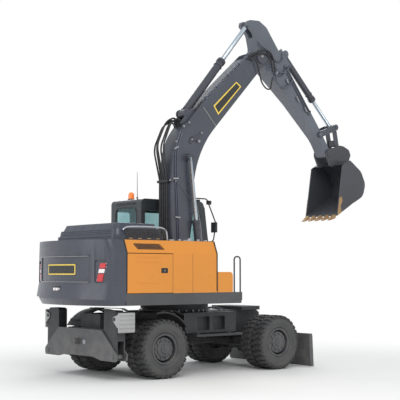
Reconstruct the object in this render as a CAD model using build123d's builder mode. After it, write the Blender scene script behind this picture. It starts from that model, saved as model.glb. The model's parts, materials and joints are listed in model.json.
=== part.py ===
import os
from math import atan2, cos, degrees, hypot, radians, sin, sqrt

from build123d import *

os.makedirs("parts", exist_ok=True)

# Wheeled excavator, in millimetres. X points forward, Y to the left, Z up, and the origin lies
# on the ground under the middle of the machine's length.
# The undercarriage stands on twin tyres, the upper structure turns on it about slew_x.

# Undercarriage
wheelbase = 2800
rear_axle_x = -2283
front_axle_x = rear_axle_x + wheelbase
overall_width = 2500
tyre_radius = 527.5
tyre_width = 278
twin_spacing = 318
rim_seat_radius = 254
hub_radius = 205
kingpin_y = 530
axle_z = tyre_radius
chassis_top_z = 1140
chassis_depth = 430
chassis_width = 640
chassis_rear_x = rear_axle_x - 790
chassis_front_x = front_axle_x + 300
plate = 25
carrier_length = 240
carrier_plate = 25
leg_pin_y = 1075
leg_pin_z = 430
leg_length = 800
blade_width = 2490
blade_height = 650
blade_back_x = chassis_front_x + 530
blade_ground_gap = 12
blade_link = 450
blade_link_angle = -22

# Upper structure
slew_x = rear_axle_x + 1150
ring_radius = 640
tail_radius = 2620
half_width = 1245
deck_bottom_z = 1312
deck_top_z = 1520
crease_z = 2232
panel_top_z = 2463
panel_lean = 75
counterweight_front_x = slew_x - 2010
housing_front_x = slew_x + 50
deck_front_x = slew_x + 670
hood_top_z = 2775
hood_half_width = 1000
hood_front_x = slew_x - 970
sheet = 30
cab_right_y = 215
cab_rear_x = slew_x - 650
cab_length = 1740
cab_roof_z = 3330
cab_wall = 45
glass = 6

# Working equipment, whose pins are (x, z) places in the plane boom_y
boom_y = -140
boom_half = 185
boom_foot = (slew_x - 140, 1800)
boom_reach = (2199, 4599)
boom_pin = (boom_foot[0] + boom_reach[0], boom_foot[1] + boom_reach[1])
arm_half = 150
arm_reach = (2016, -1879)
bucket_pin = (boom_pin[0] + arm_reach[0], boom_pin[1] + arm_reach[1])
bucket_half = 480
boom_cylinder_y = 268
pin_radius = 45
small_pin_radius = 32

# Clearances
fit = 0.3
side_gap = 6
face_gap = 0.6


def side(y=0):
    """Drawing plane seen from the right: local x is X, local y is Z, and it extrudes to -Y."""
    return Plane(origin=(0, y, 0), x_dir=(1, 0, 0), z_dir=(0, -1, 0))


def across(x=0):
    """Drawing plane seen from behind: local x is Y, local y is Z, and it extrudes forward."""
    return Plane(origin=(x, 0, 0), x_dir=(0, 1, 0), z_dir=(1, 0, 0))


def shifted(origin, points):
    return [(origin[0] + px, origin[1] + pz) for px, pz in points]


def outline(points, radii):
    """A closed outline of straight runs whose corners have the given radii."""
    with BuildLine() as border:
        FilletPolyline(*points, radius=radii, close=True)
    make_face(border.edges())


def link_shape(start, end, radius):
    """A link with rounded ends about its two pins."""
    run = (end[0] - start[0], end[1] - start[1])
    middle = ((start[0] + end[0]) / 2, (start[1] + end[1]) / 2)
    with Locations(Location(middle, degrees(atan2(run[1], run[0])))):
        SlotCenterToCenter(hypot(*run), 2 * radius)


def pipe_run(points, radii, radius):
    """A pipe or hose of straight runs joined by arcs, added to the part being built."""
    with BuildLine() as route:
        FilletPolyline(*points, radius=radii)
    run = [after - before for before, after in zip(points[0], points[1])]
    with BuildSketch(Plane(origin=points[0], z_dir=run)) as section:
        Circle(radius)
    sweep(section.sketch, path=route.wires()[0])


# Twin wheels
outer_tyre_y = overall_width / 2 - tyre_width / 2
inner_tyre_y = outer_tyre_y - twin_spacing
hub_inner_y = kingpin_y + 110
spindle_radius = 80
spindle_length = 115
rim_half = 100
rim_wall = 12
tyre_half = tyre_width / 2
# columns: half width from the tyre's middle, radius, corner radius
tyre_section = [
    (86, rim_seat_radius + fit, 0),
    (86, rim_seat_radius + 24, 0),
    (tyre_half, rim_seat_radius + 85, 45),
    (tyre_half, tyre_radius - 95, 60),
    (tyre_half - 22, tyre_radius, 18),
]


def tyre_sketch(middle):
    right = [(middle + half, radius) for half, radius, corner in tyre_section]
    left = [(middle - half, radius) for half, radius, corner in reversed(tyre_section)]
    corners = [corner for half, radius, corner in tyre_section]
    outline(right + left, corners + corners[::-1])


def box_sketch(low_y, high_y, low_r, high_r):
    with Locations(((low_y + high_y) / 2, (low_r + high_r) / 2)):
        Rectangle(high_y - low_y, high_r - low_r)


for axle_name, axle_x in (("rear", rear_axle_x), ("front", front_axle_x)):
    for side_name, sign in (("left", 1), ("right", -1)):
        # wheel plane: local x runs outwards along the axle, local y is the radius
        wheel_plane = Plane(origin=(axle_x, 0, axle_z), x_dir=(0, sign, 0), z_dir=(sign, 0, 0))
        wheel_axis = Axis((axle_x, 0, axle_z), (0, sign, 0))
        with BuildPart() as tyres:
            with BuildSketch(wheel_plane):
                tyre_sketch(outer_tyre_y)
                tyre_sketch(inner_tyre_y)
            revolve(axis=wheel_axis)
        tyres.part.label = f"tyres_{axle_name}_{side_name}"
        export_step(tyres.part, f"parts/{tyres.part.label}.step")

        with BuildPart() as rims:
            with BuildSketch(wheel_plane):
                box_sketch(hub_inner_y, outer_tyre_y - 60, 0, hub_radius - 55)
                box_sketch(outer_tyre_y - 75, outer_tyre_y + 62, 0, hub_radius)
                box_sketch(outer_tyre_y + 62, outer_tyre_y + 80, 0, hub_radius - 60)
                for middle, disc in ((outer_tyre_y, -80), (inner_tyre_y, 64)):
                    box_sketch(middle + disc, middle + disc + 16, hub_radius - 60, rim_seat_radius)
                    box_sketch(middle - rim_half, middle + rim_half, rim_seat_radius - rim_wall, rim_seat_radius)
                    for edge in (-rim_half, rim_half - rim_wall):
                        box_sketch(middle + edge, middle + edge + rim_wall, rim_seat_radius - rim_wall, rim_seat_radius + 22)
                with Locations((hub_inner_y + spindle_length / 2, 0)):
                    Rectangle(spindle_length, 2 * (spindle_radius + fit), mode=Mode.SUBTRACT)
            revolve(axis=wheel_axis)
        rims.part.label = f"rims_{axle_name}_{side_name}"
        export_step(rims.part, f"parts/{rims.part.label}.step")

# Axles
axle_tube = 115
spindle_tip = hub_inner_y + spindle_length - 4
with BuildPart() as rear_axle:
    with BuildSketch(Plane.XZ.offset(-spindle_tip)):
        with Locations((rear_axle_x, axle_z)):
            Circle(spindle_radius)
    extrude(amount=2 * spindle_tip)
    with BuildSketch(Plane.XZ.offset(-(hub_inner_y - side_gap))):
        with Locations((rear_axle_x, axle_z)):
            Circle(axle_tube)
    extrude(amount=2 * (hub_inner_y - side_gap))
    with Locations((rear_axle_x, 0, axle_z)):
        Sphere(235)
    for sign in (1, -1):
        with BuildSketch(Plane.XY.offset(axle_z + 60)):
            with Locations((rear_axle_x, sign * 255)):
                Rectangle(210, 120)
        extrude(amount=chassis_top_z - chassis_depth - axle_z - 60)
    # gearbox on the axle's nose and the drive shaft towards the front axle
    with BuildSketch(across(rear_axle_x)):
        with Locations((0, axle_z + 10)):
            Circle(150)
    extrude(amount=420)
    with BuildSketch(across(rear_axle_x + 420)):
        with Locations((0, axle_z)):
            Circle(45)
    extrude(amount=wheelbase - 420 - 260)
rear_axle.part.label = "rear_axle"
export_step(rear_axle.part, "parts/rear_axle.step")

yoke_gap = 150
with BuildPart() as front_axle:
    with BuildSketch(Plane.XZ.offset(-(kingpin_y - 130))):
        with Locations((front_axle_x, axle_z)):
            Circle(axle_tube - 10)
    extrude(amount=2 * (kingpin_y - 130))
    with Locations((front_axle_x, 0, axle_z)):
        Sphere(188)
    with BuildSketch(across(front_axle_x - 260)):
        with Locations((0, axle_z)):
            Circle(54)
    extrude(amount=260)
    for sign in (1, -1):
        # fork that holds the steering knuckle above and below
        with BuildSketch(across(front_axle_x)):
            with Locations((sign * (kingpin_y - 120), axle_z)):
                Rectangle(54, 2 * (yoke_gap + 45))
        extrude(amount=85, both=True)
        for level in (yoke_gap, -yoke_gap - 45):
            with BuildSketch(Plane.XY.offset(axle_z + level)):
                with Locations((front_axle_x, sign * (kingpin_y - 72))):
                    Rectangle(150, 144)
                with Locations((front_axle_x, sign * kingpin_y)):
                    Circle(75)
            extrude(amount=45)
        with BuildSketch(Plane.XY.offset(axle_z + 60)):
            with Locations((front_axle_x, sign * 200)):
                Rectangle(200, 110)
        extrude(amount=chassis_top_z - chassis_depth - axle_z - 60)
front_axle.part.label = "front_axle"
export_step(front_axle.part, "parts/front_axle.step")

for side_name, sign in (("left", 1), ("right", -1)):
    with BuildPart() as knuckle:
        with BuildSketch(Plane.XY.offset(axle_z - yoke_gap + fit)):
            with Locations((front_axle_x, sign * kingpin_y)):
                Circle(68)
        extrude(amount=2 * (yoke_gap - fit))
        with BuildSketch(side(sign * (kingpin_y + 25))):
            with Locations((front_axle_x, axle_z)):
                Circle(100)
        extrude(amount=-sign * (hub_inner_y - side_gap - kingpin_y - 25))
        with BuildSketch(side(sign * kingpin_y)):
            with Locations((front_axle_x, axle_z)):
                Circle(spindle_radius)
        extrude(amount=-sign * (spindle_tip - kingpin_y))
        # steering arm behind the kingpin
        with BuildSketch(Plane.XY.offset(axle_z - 60)):
            with Locations((front_axle_x - 110, sign * (kingpin_y - 10))):
                Rectangle(220, 60)
            with Locations((front_axle_x - 220, sign * (kingpin_y - 10))):
                Circle(38)
        extrude(amount=40)
    knuckle.part.label = f"knuckle_{side_name}"
    export_step(knuckle.part, f"parts/{knuckle.part.label}.step")

# Tie rod between the steering arms
tie_rod_z = axle_z - 60 - face_gap - 24
with BuildPart() as tie_rod:
    with BuildSketch(Plane.XZ.offset(-(kingpin_y - 10))):
        with Locations((front_axle_x - 220, tie_rod_z)):
            Circle(22)
    extrude(amount=2 * (kingpin_y - 10))
    for sign in (1, -1):
        with BuildSketch(Plane.XY.offset(tie_rod_z - 24)):
            with Locations((front_axle_x - 220, sign * (kingpin_y - 10))):
                Circle(36)
        extrude(amount=48)
tie_rod.part.label = "tie_rod"
export_step(tie_rod.part, "parts/tie_rod.step")

# Chassis frame: a deep narrow beam with a ring tub, and lugs for the blade in front
blade_pivot = (chassis_front_x + 52, 330)
blade_link_rise = 230
chassis_bottom_z = chassis_top_z - chassis_depth
tub_top_z = deck_bottom_z - 110
link_y = 255
upper_link_y = 150
blade_cylinder_base = (chassis_front_x + 75, 900)
with BuildPart() as chassis_frame:
    with BuildSketch(side()):
        outline(
            [
                (chassis_rear_x, chassis_top_z),
                (chassis_rear_x, 520),
                (chassis_rear_x + 240, 520),
                (rear_axle_x - 330, chassis_bottom_z),
                (front_axle_x + 150, chassis_bottom_z),
                (front_axle_x + 245, 330),
                (chassis_front_x, 260),
                (chassis_front_x, chassis_top_z - 60),
                (chassis_front_x - 80, chassis_top_z),
            ],
            [0, 0, 60, 80, 60, 20, 0, 20, 0],
        )
    extrude(amount=chassis_width / 2, both=True)
    with BuildSketch(Plane.XY.offset(chassis_top_z - 180)):
        with Locations((slew_x, 0)):
            Circle(ring_radius + 90)
    extrude(amount=180)
    with BuildSketch(Plane.XY.offset(chassis_top_z)):
        with Locations((slew_x, 0)):
            Circle(ring_radius)
    extrude(amount=tub_top_z - chassis_top_z)
    # tunnels for the axles' drive shaft and pivot room
    with BuildSketch(across(chassis_rear_x + 200)):
        with Locations((0, chassis_bottom_z - 100)):
            Rectangle(380, 400)
    extrude(amount=chassis_front_x - 60 - chassis_rear_x - 200, mode=Mode.SUBTRACT)
    # front lid box
    with BuildSketch(Plane.XY.offset(chassis_top_z)):
        with Locations((chassis_front_x - 360, 0)):
            RectangleRounded(500, 960, 30)
    extrude(amount=75)
    # lugs of the blade links and cylinders
    for lug_y, place, reach in (
        (link_y, blade_pivot, 60),
        (upper_link_y, (blade_pivot[0], blade_pivot[1] + blade_link_rise), 55),
    ):
        for sign in (1, -1):
            for edge in (-45, 45):
                with BuildSketch(side(sign * lug_y + edge)):
                    with Locations(place):
                        Circle(reach)
                    with Locations((place[0] - 40, place[1])):
                        Rectangle(80, 2 * reach)
                    with Locations(place):
                        Circle(small_pin_radius + fit, mode=Mode.SUBTRACT)
                extrude(amount=11, both=True)
    for edge in (-48, 48):
        with BuildSketch(side(edge)):
            with Locations(blade_cylinder_base):
                Circle(50)
            with Locations((blade_cylinder_base[0] - 45, blade_cylinder_base[1])):
                Rectangle(90, 100)
        extrude(amount=11, both=True)
    with BuildSketch(side()):
        with Locations(blade_cylinder_base):
            Circle(small_pin_radius)
    extrude(amount=62, both=True)
chassis_frame.part.label = "chassis_frame"
export_step(chassis_frame.part, "parts/chassis_frame.step")

# Side boxes with a step between the wheels
box_rear_x = slew_x - 470
box_front_x = slew_x + 810
box_side_y = 900
step_y = 1150
guard_width = 130
guard_y = box_side_y - guard_width / 2
with BuildPart() as side_boxes:
    for sign in (1, -1):
        with BuildSketch(side(sign * (chassis_width / 2))):
            outline(
                [
                    (box_rear_x, chassis_top_z - 190),
                    (box_rear_x + 60, 760),
                    (box_front_x, 760),
                    (box_front_x, chassis_top_z - 190),
                ],
                [20, 20, 20, 20],
            )
        extrude(amount=-sign * (box_side_y - chassis_width / 2))
        with BuildSketch(side(sign * (ring_radius + 90))):
            outline(
                [
                    (box_rear_x, chassis_top_z),
                    (box_rear_x, chassis_top_z - 200),
                    (box_front_x, chassis_top_z - 200),
                    (box_front_x, chassis_top_z),
                ],
                [20, 0, 0, 20],
            )
        extrude(amount=-sign * (box_side_y - ring_radius - 90))
        # deep windows in the outer face
        with BuildSketch(side(sign * box_side_y)):
            for window_x in (box_rear_x + 470, box_rear_x + 850):
                with Locations((window_x, 935)):
                    RectangleRounded(300, 260, 25)
        extrude(amount=sign * 90, mode=Mode.SUBTRACT)
        # step and its two hangers
        with BuildSketch(Plane.XY.offset(705)):
            with Locations(((box_rear_x + box_front_x) / 2 + 40, sign * (step_y - 100))):
                RectangleRounded(1130, 200, 20)
        extrude(amount=40)
        for hanger_x in (box_rear_x + 300, box_front_x - 220):
            with BuildSketch(Plane.XY.offset(705)):
                with Locations((hanger_x, sign * (box_side_y - 20))):
                    Rectangle(60, 200)
            extrude(amount=56)
        # bent bracket that reaches back over the rear wheels
        with BuildSketch(side(sign * guard_y)):
            with BuildLine():
                Polyline(
                    (rear_axle_x - 110, chassis_top_z + 78),
                    (rear_axle_x - 110, chassis_top_z + 66),
                    (rear_axle_x + 502, chassis_top_z + 32),
                    (rear_axle_x + 630, chassis_top_z - 26),
                    (box_rear_x + 20, chassis_top_z - 26),
                    (box_rear_x + 20, chassis_top_z - 12),
                    (rear_axle_x + 634, chassis_top_z - 12),
                    (rear_axle_x + 506, chassis_top_z + 46),
                    close=True,
                )
            make_face()
        extrude(amount=guard_width / 2, both=True)
side_boxes.part.label = "side_boxes"
export_step(side_boxes.part, "parts/side_boxes.step")

# Slewing ring between chassis and upper frame
with BuildPart() as slew_ring:
    with BuildSketch(Plane.XY.offset(tub_top_z)):
        with Locations((slew_x, 0)):
            Circle(ring_radius + 20)
            Circle(ring_radius - 110, mode=Mode.SUBTRACT)
    extrude(amount=deck_bottom_z - face_gap - tub_top_z)
slew_ring.part.label = "slew_ring"
export_step(slew_ring.part, "parts/slew_ring.step")

# Stabiliser carrier: two plates with the legs between them
carrier_front_x = chassis_rear_x
carrier_rear_x = carrier_front_x - carrier_length
carrier_outline = [
    (-720, 880),
    (-leg_pin_y - 120, 470),
    (-leg_pin_y - 110, 350),
    (-700, 350),
    (-450, 400),
    (450, 400),
    (700, 350),
    (leg_pin_y + 110, 350),
    (leg_pin_y + 120, 470),
    (720, 880),
]
leg_pin_radius = 40
tow_reach = 60
tow_z = 655
tow_bore = 22
tow_width = 60
cylinder_pin = (300, 720)
with BuildPart() as stabiliser_carrier:
    for plate_x in (carrier_rear_x, carrier_front_x - carrier_plate):
        with BuildSketch(across(plate_x)):
            outline(carrier_outline, [120, 60, 40, 60, 60, 60, 60, 40, 60, 120])
        extrude(amount=carrier_plate)
    # web that ties the two plates
    with BuildSketch(across(carrier_rear_x)):
        with Locations((0, 535)):
            Rectangle(700, 180)
    extrude(amount=carrier_length)
    for sign in (1, -1):
        with BuildSketch(across(carrier_rear_x - 12)):
            with Locations((sign * leg_pin_y, leg_pin_z)):
                Circle(leg_pin_radius)
        extrude(amount=carrier_length + 12)
        with BuildSketch(across(carrier_rear_x)):
            with Locations((sign * cylinder_pin[0], cylinder_pin[1])):
                Circle(small_pin_radius)
        extrude(amount=carrier_length)
    # towing eye on the rear plate
    with BuildSketch(side()):
        with Locations((carrier_rear_x - tow_reach, tow_z)):
            Circle(52)
        with Locations((carrier_rear_x - tow_reach / 2, tow_z)):
            Rectangle(tow_reach, 104)
        with Locations((carrier_rear_x - tow_reach, tow_z)):
            Circle(tow_bore, mode=Mode.SUBTRACT)
    extrude(amount=tow_width / 2, both=True)
stabiliser_carrier.part.label = "stabiliser_carrier"
export_step(stabiliser_carrier.part, "parts/stabiliser_carrier.step")


def along(start, end):
    """Length and direction of a cylinder from its base pin to its rod pin."""
    run = (end[0] - start[0], end[1] - start[1])
    length = hypot(*run)
    return length, (run[0] / length, run[1] / length)


def barrel_and_rod(name, base, eye, lateral, sizes, to_world, pin_axis, widths, base_pin, eye_pin):
    """Barrels with a bored tube and a base eye, and the rods that slide in them.

    sizes: barrel length from base pin to gland, barrel radius, rod radius, shortest pin distance.
    lateral: the places beside each other, along the pins' axis.
    widths: of the base eye and of the rod's eye.
    """
    barrel_length, barrel_radius, rod_radius, shortest = sizes
    base_width, eye_width = widths
    length, (ux, uz) = along(base, eye)
    neck = 2 * base_pin + 17
    with BuildPart() as barrels:
        for offset_y in lateral:
            place = to_world(base, offset_y)
            axis_plane = Plane(origin=place, x_dir=pin_axis, z_dir=to_world((ux, uz), 0, True))
            with BuildSketch(axis_plane.offset(neck)):
                Circle(barrel_radius)
            extrude(amount=barrel_length - neck)
            with BuildSketch(axis_plane):
                Rectangle(base_width, 2 * (base_pin + 12))
            extrude(amount=neck)
            eye_plane = Plane(origin=place, z_dir=pin_axis)
            with BuildSketch(eye_plane):
                Circle(base_pin + 30)
            extrude(amount=base_width / 2, both=True)
            with BuildSketch(eye_plane):
                Circle(base_pin + fit)
            extrude(amount=base_width / 2, both=True, mode=Mode.SUBTRACT)
            with BuildSketch(axis_plane.offset(barrel_length - 60)):
                Circle(barrel_radius + 6)
            extrude(amount=60)
            with BuildSketch(axis_plane.offset(neck + 12)):
                Circle(rod_radius + fit)
            extrude(amount=barrel_length, mode=Mode.SUBTRACT)
    barrels.part.label = f"{name}_barrel"
    export_step(barrels.part, f"parts/{name}_barrel.step")
    with BuildPart() as rods:
        for offset_y in lateral:
            place = to_world(eye, offset_y)
            axis_plane = Plane(origin=place, x_dir=pin_axis, z_dir=to_world((-ux, -uz), 0, True))
            with BuildSketch(axis_plane):
                Circle(rod_radius)
            extrude(amount=shortest - neck - 18)
            eye_plane = Plane(origin=place, z_dir=pin_axis)
            with BuildSketch(eye_plane):
                Circle(eye_pin + 26)
            extrude(amount=eye_width / 2, both=True)
    rods.part.label = f"{name}_rod"
    export_step(rods.part, f"parts/{name}_rod.step")


def in_boom_plane(place, offset_y, direction=False):
    return (place[0], 0 if direction else boom_y + offset_y, place[1])


def in_middle_plane(place, offset_y, direction=False):
    return (place[0], 0 if direction else offset_y, place[1])


carrier_middle_x = (carrier_rear_x + carrier_front_x) / 2


def in_rear_plane(place, offset_y, direction=False):
    return (0 if direction else carrier_middle_x + offset_y, place[0], place[1])


# Stabiliser legs stand folded up, with their pads facing outwards
leg_thickness = carrier_length - 2 * carrier_plate - 2 * side_gap
leg_top_z = leg_pin_z + leg_length
leg_eye = (leg_pin_y - 135, leg_pin_z + 130)
pad_pin = (leg_pin_y + 35, leg_pin_z + leg_length - 150)
pad_size = 345
pad_plate = 40
pad_rib = 14
leg_slot = 64
pad_lug_x = leg_thickness / 2 + side_gap
pad_y = leg_pin_y + 130
for side_name, sign in (("left", 1), ("right", -1)):
    with BuildPart() as leg:
        with BuildSketch(across(carrier_middle_x)):
            outline(
                [
                    (sign * (leg_pin_y + 80), leg_pin_z - 70),
                    (sign * (leg_pin_y - 90), leg_pin_z - 70),
                    (sign * (leg_pin_y - 320), leg_pin_z + 160),
                    (sign * (leg_pin_y - 320), leg_top_z - 20),
                    (sign * (leg_pin_y - 240), leg_top_z),
                    (sign * (leg_pin_y + 20), leg_top_z),
                    (sign * (leg_pin_y + 80), leg_pin_z + 560),
                ],
                [70, 80, 50, 40, 60, 40, 80],
            )
            with Locations((sign * leg_pin_y, leg_pin_z)):
                Circle(leg_pin_radius + fit, mode=Mode.SUBTRACT)
        extrude(amount=leg_thickness / 2, both=True)
        # slot for the cylinder's rod
        with BuildSketch(across(carrier_middle_x)):
            with Locations((sign * (leg_pin_y - 120), leg_pin_z + 95)):
                Rectangle(440, 350)
        extrude(amount=leg_slot, both=True, mode=Mode.SUBTRACT)
        # pin of the pad through the leg's end
        with BuildSketch(across(carrier_middle_x)):
            with Locations((sign * pad_pin[0], pad_pin[1])):
                Circle(small_pin_radius)
        extrude(amount=pad_lug_x + 26, both=True)
    leg.part.label = f"stabiliser_leg_{side_name}"
    export_step(leg.part, f"parts/{leg.part.label}.step")
    with BuildPart() as pad:
        with BuildSketch(side(sign * pad_y)):
            with Locations((carrier_middle_x + 70, pad_pin[1] - 60)):
                RectangleRounded(pad_size, pad_size, 20)
        extrude(amount=-sign * (pad_plate - pad_rib))
        with BuildSketch(side(sign * (pad_y + pad_plate - pad_rib))):
            for rib in range(5):
                with Locations((carrier_middle_x + 70, pad_pin[1] - 60 + (rib - 2) * 72)):
                    Rectangle(pad_size - 30, 30)
        extrude(amount=-sign * pad_rib)
        for edge in (1, -1):
            with BuildSketch(across(carrier_middle_x + edge * pad_lug_x)):
                outline(
                    [
                        (sign * (pad_pin[0] - 45), pad_pin[1] + 30),
                        (sign * (pad_pin[0] - 45), pad_pin[1] - 30),
                        (sign * pad_y, pad_pin[1] - 150),
                        (sign * pad_y, pad_pin[1] + 80),
                    ],
                    [25, 25, 0, 0],
                )
                with Locations((sign * pad_pin[0], pad_pin[1])):
                    Circle(50)
                    Circle(small_pin_radius + fit, mode=Mode.SUBTRACT)
            extrude(amount=edge * 18)
    pad.part.label = f"stabiliser_pad_{side_name}"
    export_step(pad.part, f"parts/{pad.part.label}.step")
    barrel_and_rod(
        f"stabiliser_{side_name}",
        (sign * cylinder_pin[0], cylinder_pin[1]),
        (sign * leg_eye[0], leg_eye[1]),
        (0,),
        (500, 50, 28, 650),
        in_rear_plane,
        (1, 0, 0),
        (90, 90),
        small_pin_radius,
        small_pin_radius,
    )

# Dozer blade on two pairs of parallel links
link_run = (blade_link * cos(radians(blade_link_angle)), blade_link * sin(radians(blade_link_angle)))
lower_blade_pin = (blade_pivot[0] + link_run[0], blade_pivot[1] + link_run[1])
upper_blade_pin = (lower_blade_pin[0], lower_blade_pin[1] + blade_link_rise)
blade_cylinder_eye = (lower_blade_pin[0] - 10, lower_blade_pin[1] + 340)
for link_name, start, end, lateral, half_depth in (
    ("blade_lower_links", blade_pivot, lower_blade_pin, link_y, 42),
    (
        "blade_upper_links",
        (blade_pivot[0], blade_pivot[1] + blade_link_rise),
        upper_blade_pin,
        upper_link_y,
        38,
    ),
):
    with BuildPart() as links:
        for sign in (1, -1):
            with BuildSketch(side(sign * lateral)):
                link_shape(start, end, half_depth)
        extrude(amount=28, both=True)
        for sign in (1, -1):
            for place in (start, end):
                with BuildSketch(side(sign * lateral)):
                    with Locations(place):
                        Circle(small_pin_radius)
                extrude(amount=56, both=True)
    links.part.label = link_name
    export_step(links.part, f"parts/{link_name}.step")

blade_bottom_z = blade_ground_gap
blade_top_z = blade_bottom_z + blade_height
with BuildPart() as blade:
    with BuildSketch(side()):
        with BuildLine():
            back = Line((blade_back_x, blade_top_z), (blade_back_x, 190))
            heel = Line(back @ 1, (blade_back_x + 60, blade_bottom_z))
            edge = Line(heel @ 1, (blade_back_x + 115, blade_bottom_z))
            face = ThreePointArc(edge @ 1, (blade_back_x + 38, 300), (blade_back_x + 75, blade_top_z))
            Line(face @ 1, back @ 0)
        make_face()
    extrude(amount=blade_width / 2, both=True)
    for sign in (1, -1):
        with BuildSketch(side(sign * blade_width / 2)):
            outline(
                [
                    (blade_back_x, 190),
                    (blade_back_x + 50, blade_bottom_z + 10),
                    (blade_back_x + 110, blade_bottom_z + 10),
                    (blade_back_x + 80, blade_top_z - 30),
                    (blade_back_x, blade_top_z - 10),
                ],
                [0, 0, 0, 0, 0],
            )
        extrude(amount=sign * 35)
        for lug_y, place, reach in ((link_y, lower_blade_pin, 55), (upper_link_y, upper_blade_pin, 50)):
            for edge in (-45, 45):
                with BuildSketch(side(sign * lug_y + edge)):
                    with Locations(place):
                        Circle(reach)
                    with Locations(((place[0] + blade_back_x) / 2, place[1])):
                        Rectangle(blade_back_x - place[0] + 20, 2 * reach)
                    with Locations(place):
                        Circle(small_pin_radius + fit, mode=Mode.SUBTRACT)
                extrude(amount=11, both=True)
    for edge in (-48, 48):
        with BuildSketch(side(edge)):
            with Locations(blade_cylinder_eye):
                Circle(50)
            with Locations(((blade_cylinder_eye[0] + blade_back_x) / 2, blade_cylinder_eye[1])):
                Rectangle(blade_back_x - blade_cylinder_eye[0] + 20, 100)
        extrude(amount=11, both=True)
blade.part.label = "blade"
export_step(blade.part, "parts/blade.step")

barrel_and_rod(
    "blade_cylinder",
    blade_cylinder_base,
    blade_cylinder_eye,
    (0,),
    (320, 55, 30, 385),
    in_middle_plane,
    (0, 1, 0),
    (70, 70),
    small_pin_radius,
    small_pin_radius,
)

# Upper frame: floor, side beams, the two boom plates and the lower hinge pins of the side doors
door_gap = 5
door_rear_x = counterweight_front_x + 12
hinge_inset_x = 10
hinge_inset_y = 8
hinge_radius = 5
hinge_reach = 60
boom_cylinder_base = (slew_x + 395, 1425)
frame_plate = 45
boom_plate_y = boom_half + side_gap + frame_plate / 2
floor_z = deck_bottom_z + 90
floor_front_x = boom_cylinder_base[0] - 100
with BuildPart() as upper_frame:
    with BuildSketch(Plane.XY.offset(deck_bottom_z)):
        with Locations((slew_x, 0)):
            Circle(ring_radius + 40)
    extrude(amount=30)
    with BuildSketch(Plane.XY.offset(deck_bottom_z)):
        with Locations(((counterweight_front_x + floor_front_x) / 2, 0)):
            Rectangle(floor_front_x - counterweight_front_x, 1100)
    extrude(amount=floor_z - deck_bottom_z)
    for sign in (1, -1):
        # side beam with a rounded lower front corner
        with BuildSketch(side(sign * half_width)):
            outline(
                [
                    (counterweight_front_x, deck_bottom_z),
                    (deck_front_x, deck_bottom_z),
                    (deck_front_x, deck_top_z),
                    (counterweight_front_x, deck_top_z),
                ],
                [0, 90, 15, 0],
            )
        extrude(amount=sign * 90)
        with BuildSketch(Plane.XY.offset(deck_top_z - 20)):
            with Locations(((counterweight_front_x + deck_front_x) / 2, sign * (half_width + 525) / 2)):
                Rectangle(deck_front_x - counterweight_front_x, half_width - 525)
        extrude(amount=20)
        for rib_x in (counterweight_front_x + 300, slew_x - 750, slew_x - 50, deck_front_x - 40):
            with BuildSketch(Plane.XY.offset(deck_bottom_z)):
                with Locations((rib_x, sign * (half_width + 520) / 2)):
                    Rectangle(40, half_width - 520)
            extrude(amount=deck_top_z - deck_bottom_z)
    for sign in (1, -1):
        with BuildSketch(side(boom_y + sign * boom_plate_y)):
            outline(
                [
                    (counterweight_front_x, floor_z - 10),
                    (boom_cylinder_base[0] - 90, floor_z - 10),
                    (boom_foot[0] + 210, boom_foot[1] + 60),
                    (boom_foot[0] + 120, boom_foot[1] + 190),
                    (boom_foot[0] - 120, boom_foot[1] + 190),
                    (boom_foot[0] - 500, floor_z + 130),
                    (counterweight_front_x, floor_z + 130),
                ],
                [0, 0, 100, 90, 90, 200, 0],
            )
            with Locations(boom_foot):
                Circle(pin_radius + fit, mode=Mode.SUBTRACT)
        extrude(amount=frame_plate / 2, both=True)
        # front lugs of the boom cylinders
        for edge in (-1, 1):
            lug_y = boom_y + sign * boom_cylinder_y + edge * 56
            with BuildSketch(side(lug_y)):
                with Locations(boom_cylinder_base):
                    Circle(85)
                with Locations((boom_cylinder_base[0] - 110, (boom_cylinder_base[1] + deck_bottom_z) / 2)):
                    Rectangle(220, boom_cylinder_base[1] - deck_bottom_z)
            extrude(amount=9, both=True)
        with BuildSketch(side(boom_y + sign * boom_cylinder_y)):
            with Locations(boom_cylinder_base):
                Circle(pin_radius)
        extrude(amount=66, both=True)
        with BuildSketch(Plane.XY.offset(deck_top_z)):
            with Locations((door_rear_x + hinge_inset_x, sign * (half_width - hinge_inset_y))):
                Circle(hinge_radius)
        extrude(amount=hinge_reach)
upper_frame.part.label = "upper_frame"
export_step(upper_frame.part, "parts/upper_frame.step")


# Counterweight: its tail is an arc about the slewing axis
lift_x = slew_x - 2340
lift_y = 500
lift_hole = 16


def tail_outline(inset, lean=0):
    """Plan of the tail, drawn in by inset, with its front edge straight.

    A negative inset pushes out the rear alone.
    """
    radius = tail_radius - inset
    width = half_width - max(inset, 0) - lean
    tail_start = slew_x - sqrt(radius**2 - width**2)
    with BuildLine() as border:
        left = Line((counterweight_front_x, width), (tail_start, width))
        tail = ThreePointArc(left @ 1, (slew_x - radius, 0), (tail_start, -width))
        right = Line(tail @ 1, (counterweight_front_x, -width))
        Line(right @ 1, left @ 0)
    make_face(border.edges())
    corners = vertices().sort_by(Axis.X)[:2]
    fillet(corners, 150)


def tail_band(deep, shallow, middle_y, width, low_z, high_z, corner):
    """Piece of the tail's wall between two depths, as wide and high as a rounded window."""
    with BuildPart() as band:
        with BuildSketch(Plane.XY.offset(low_z)):
            tail_outline(shallow)
        extrude(amount=high_z - low_z)
        with BuildSketch(Plane.XY.offset(low_z)):
            tail_outline(deep)
        extrude(amount=high_z - low_z, mode=Mode.SUBTRACT)
        with BuildSketch(across(slew_x - tail_radius - 100)):
            with Locations((middle_y, (low_z + high_z) / 2)):
                RectangleRounded(width, high_z - low_z, corner)
        extrude(amount=tail_radius, mode=Mode.INTERSECT)
    return band.part


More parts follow.
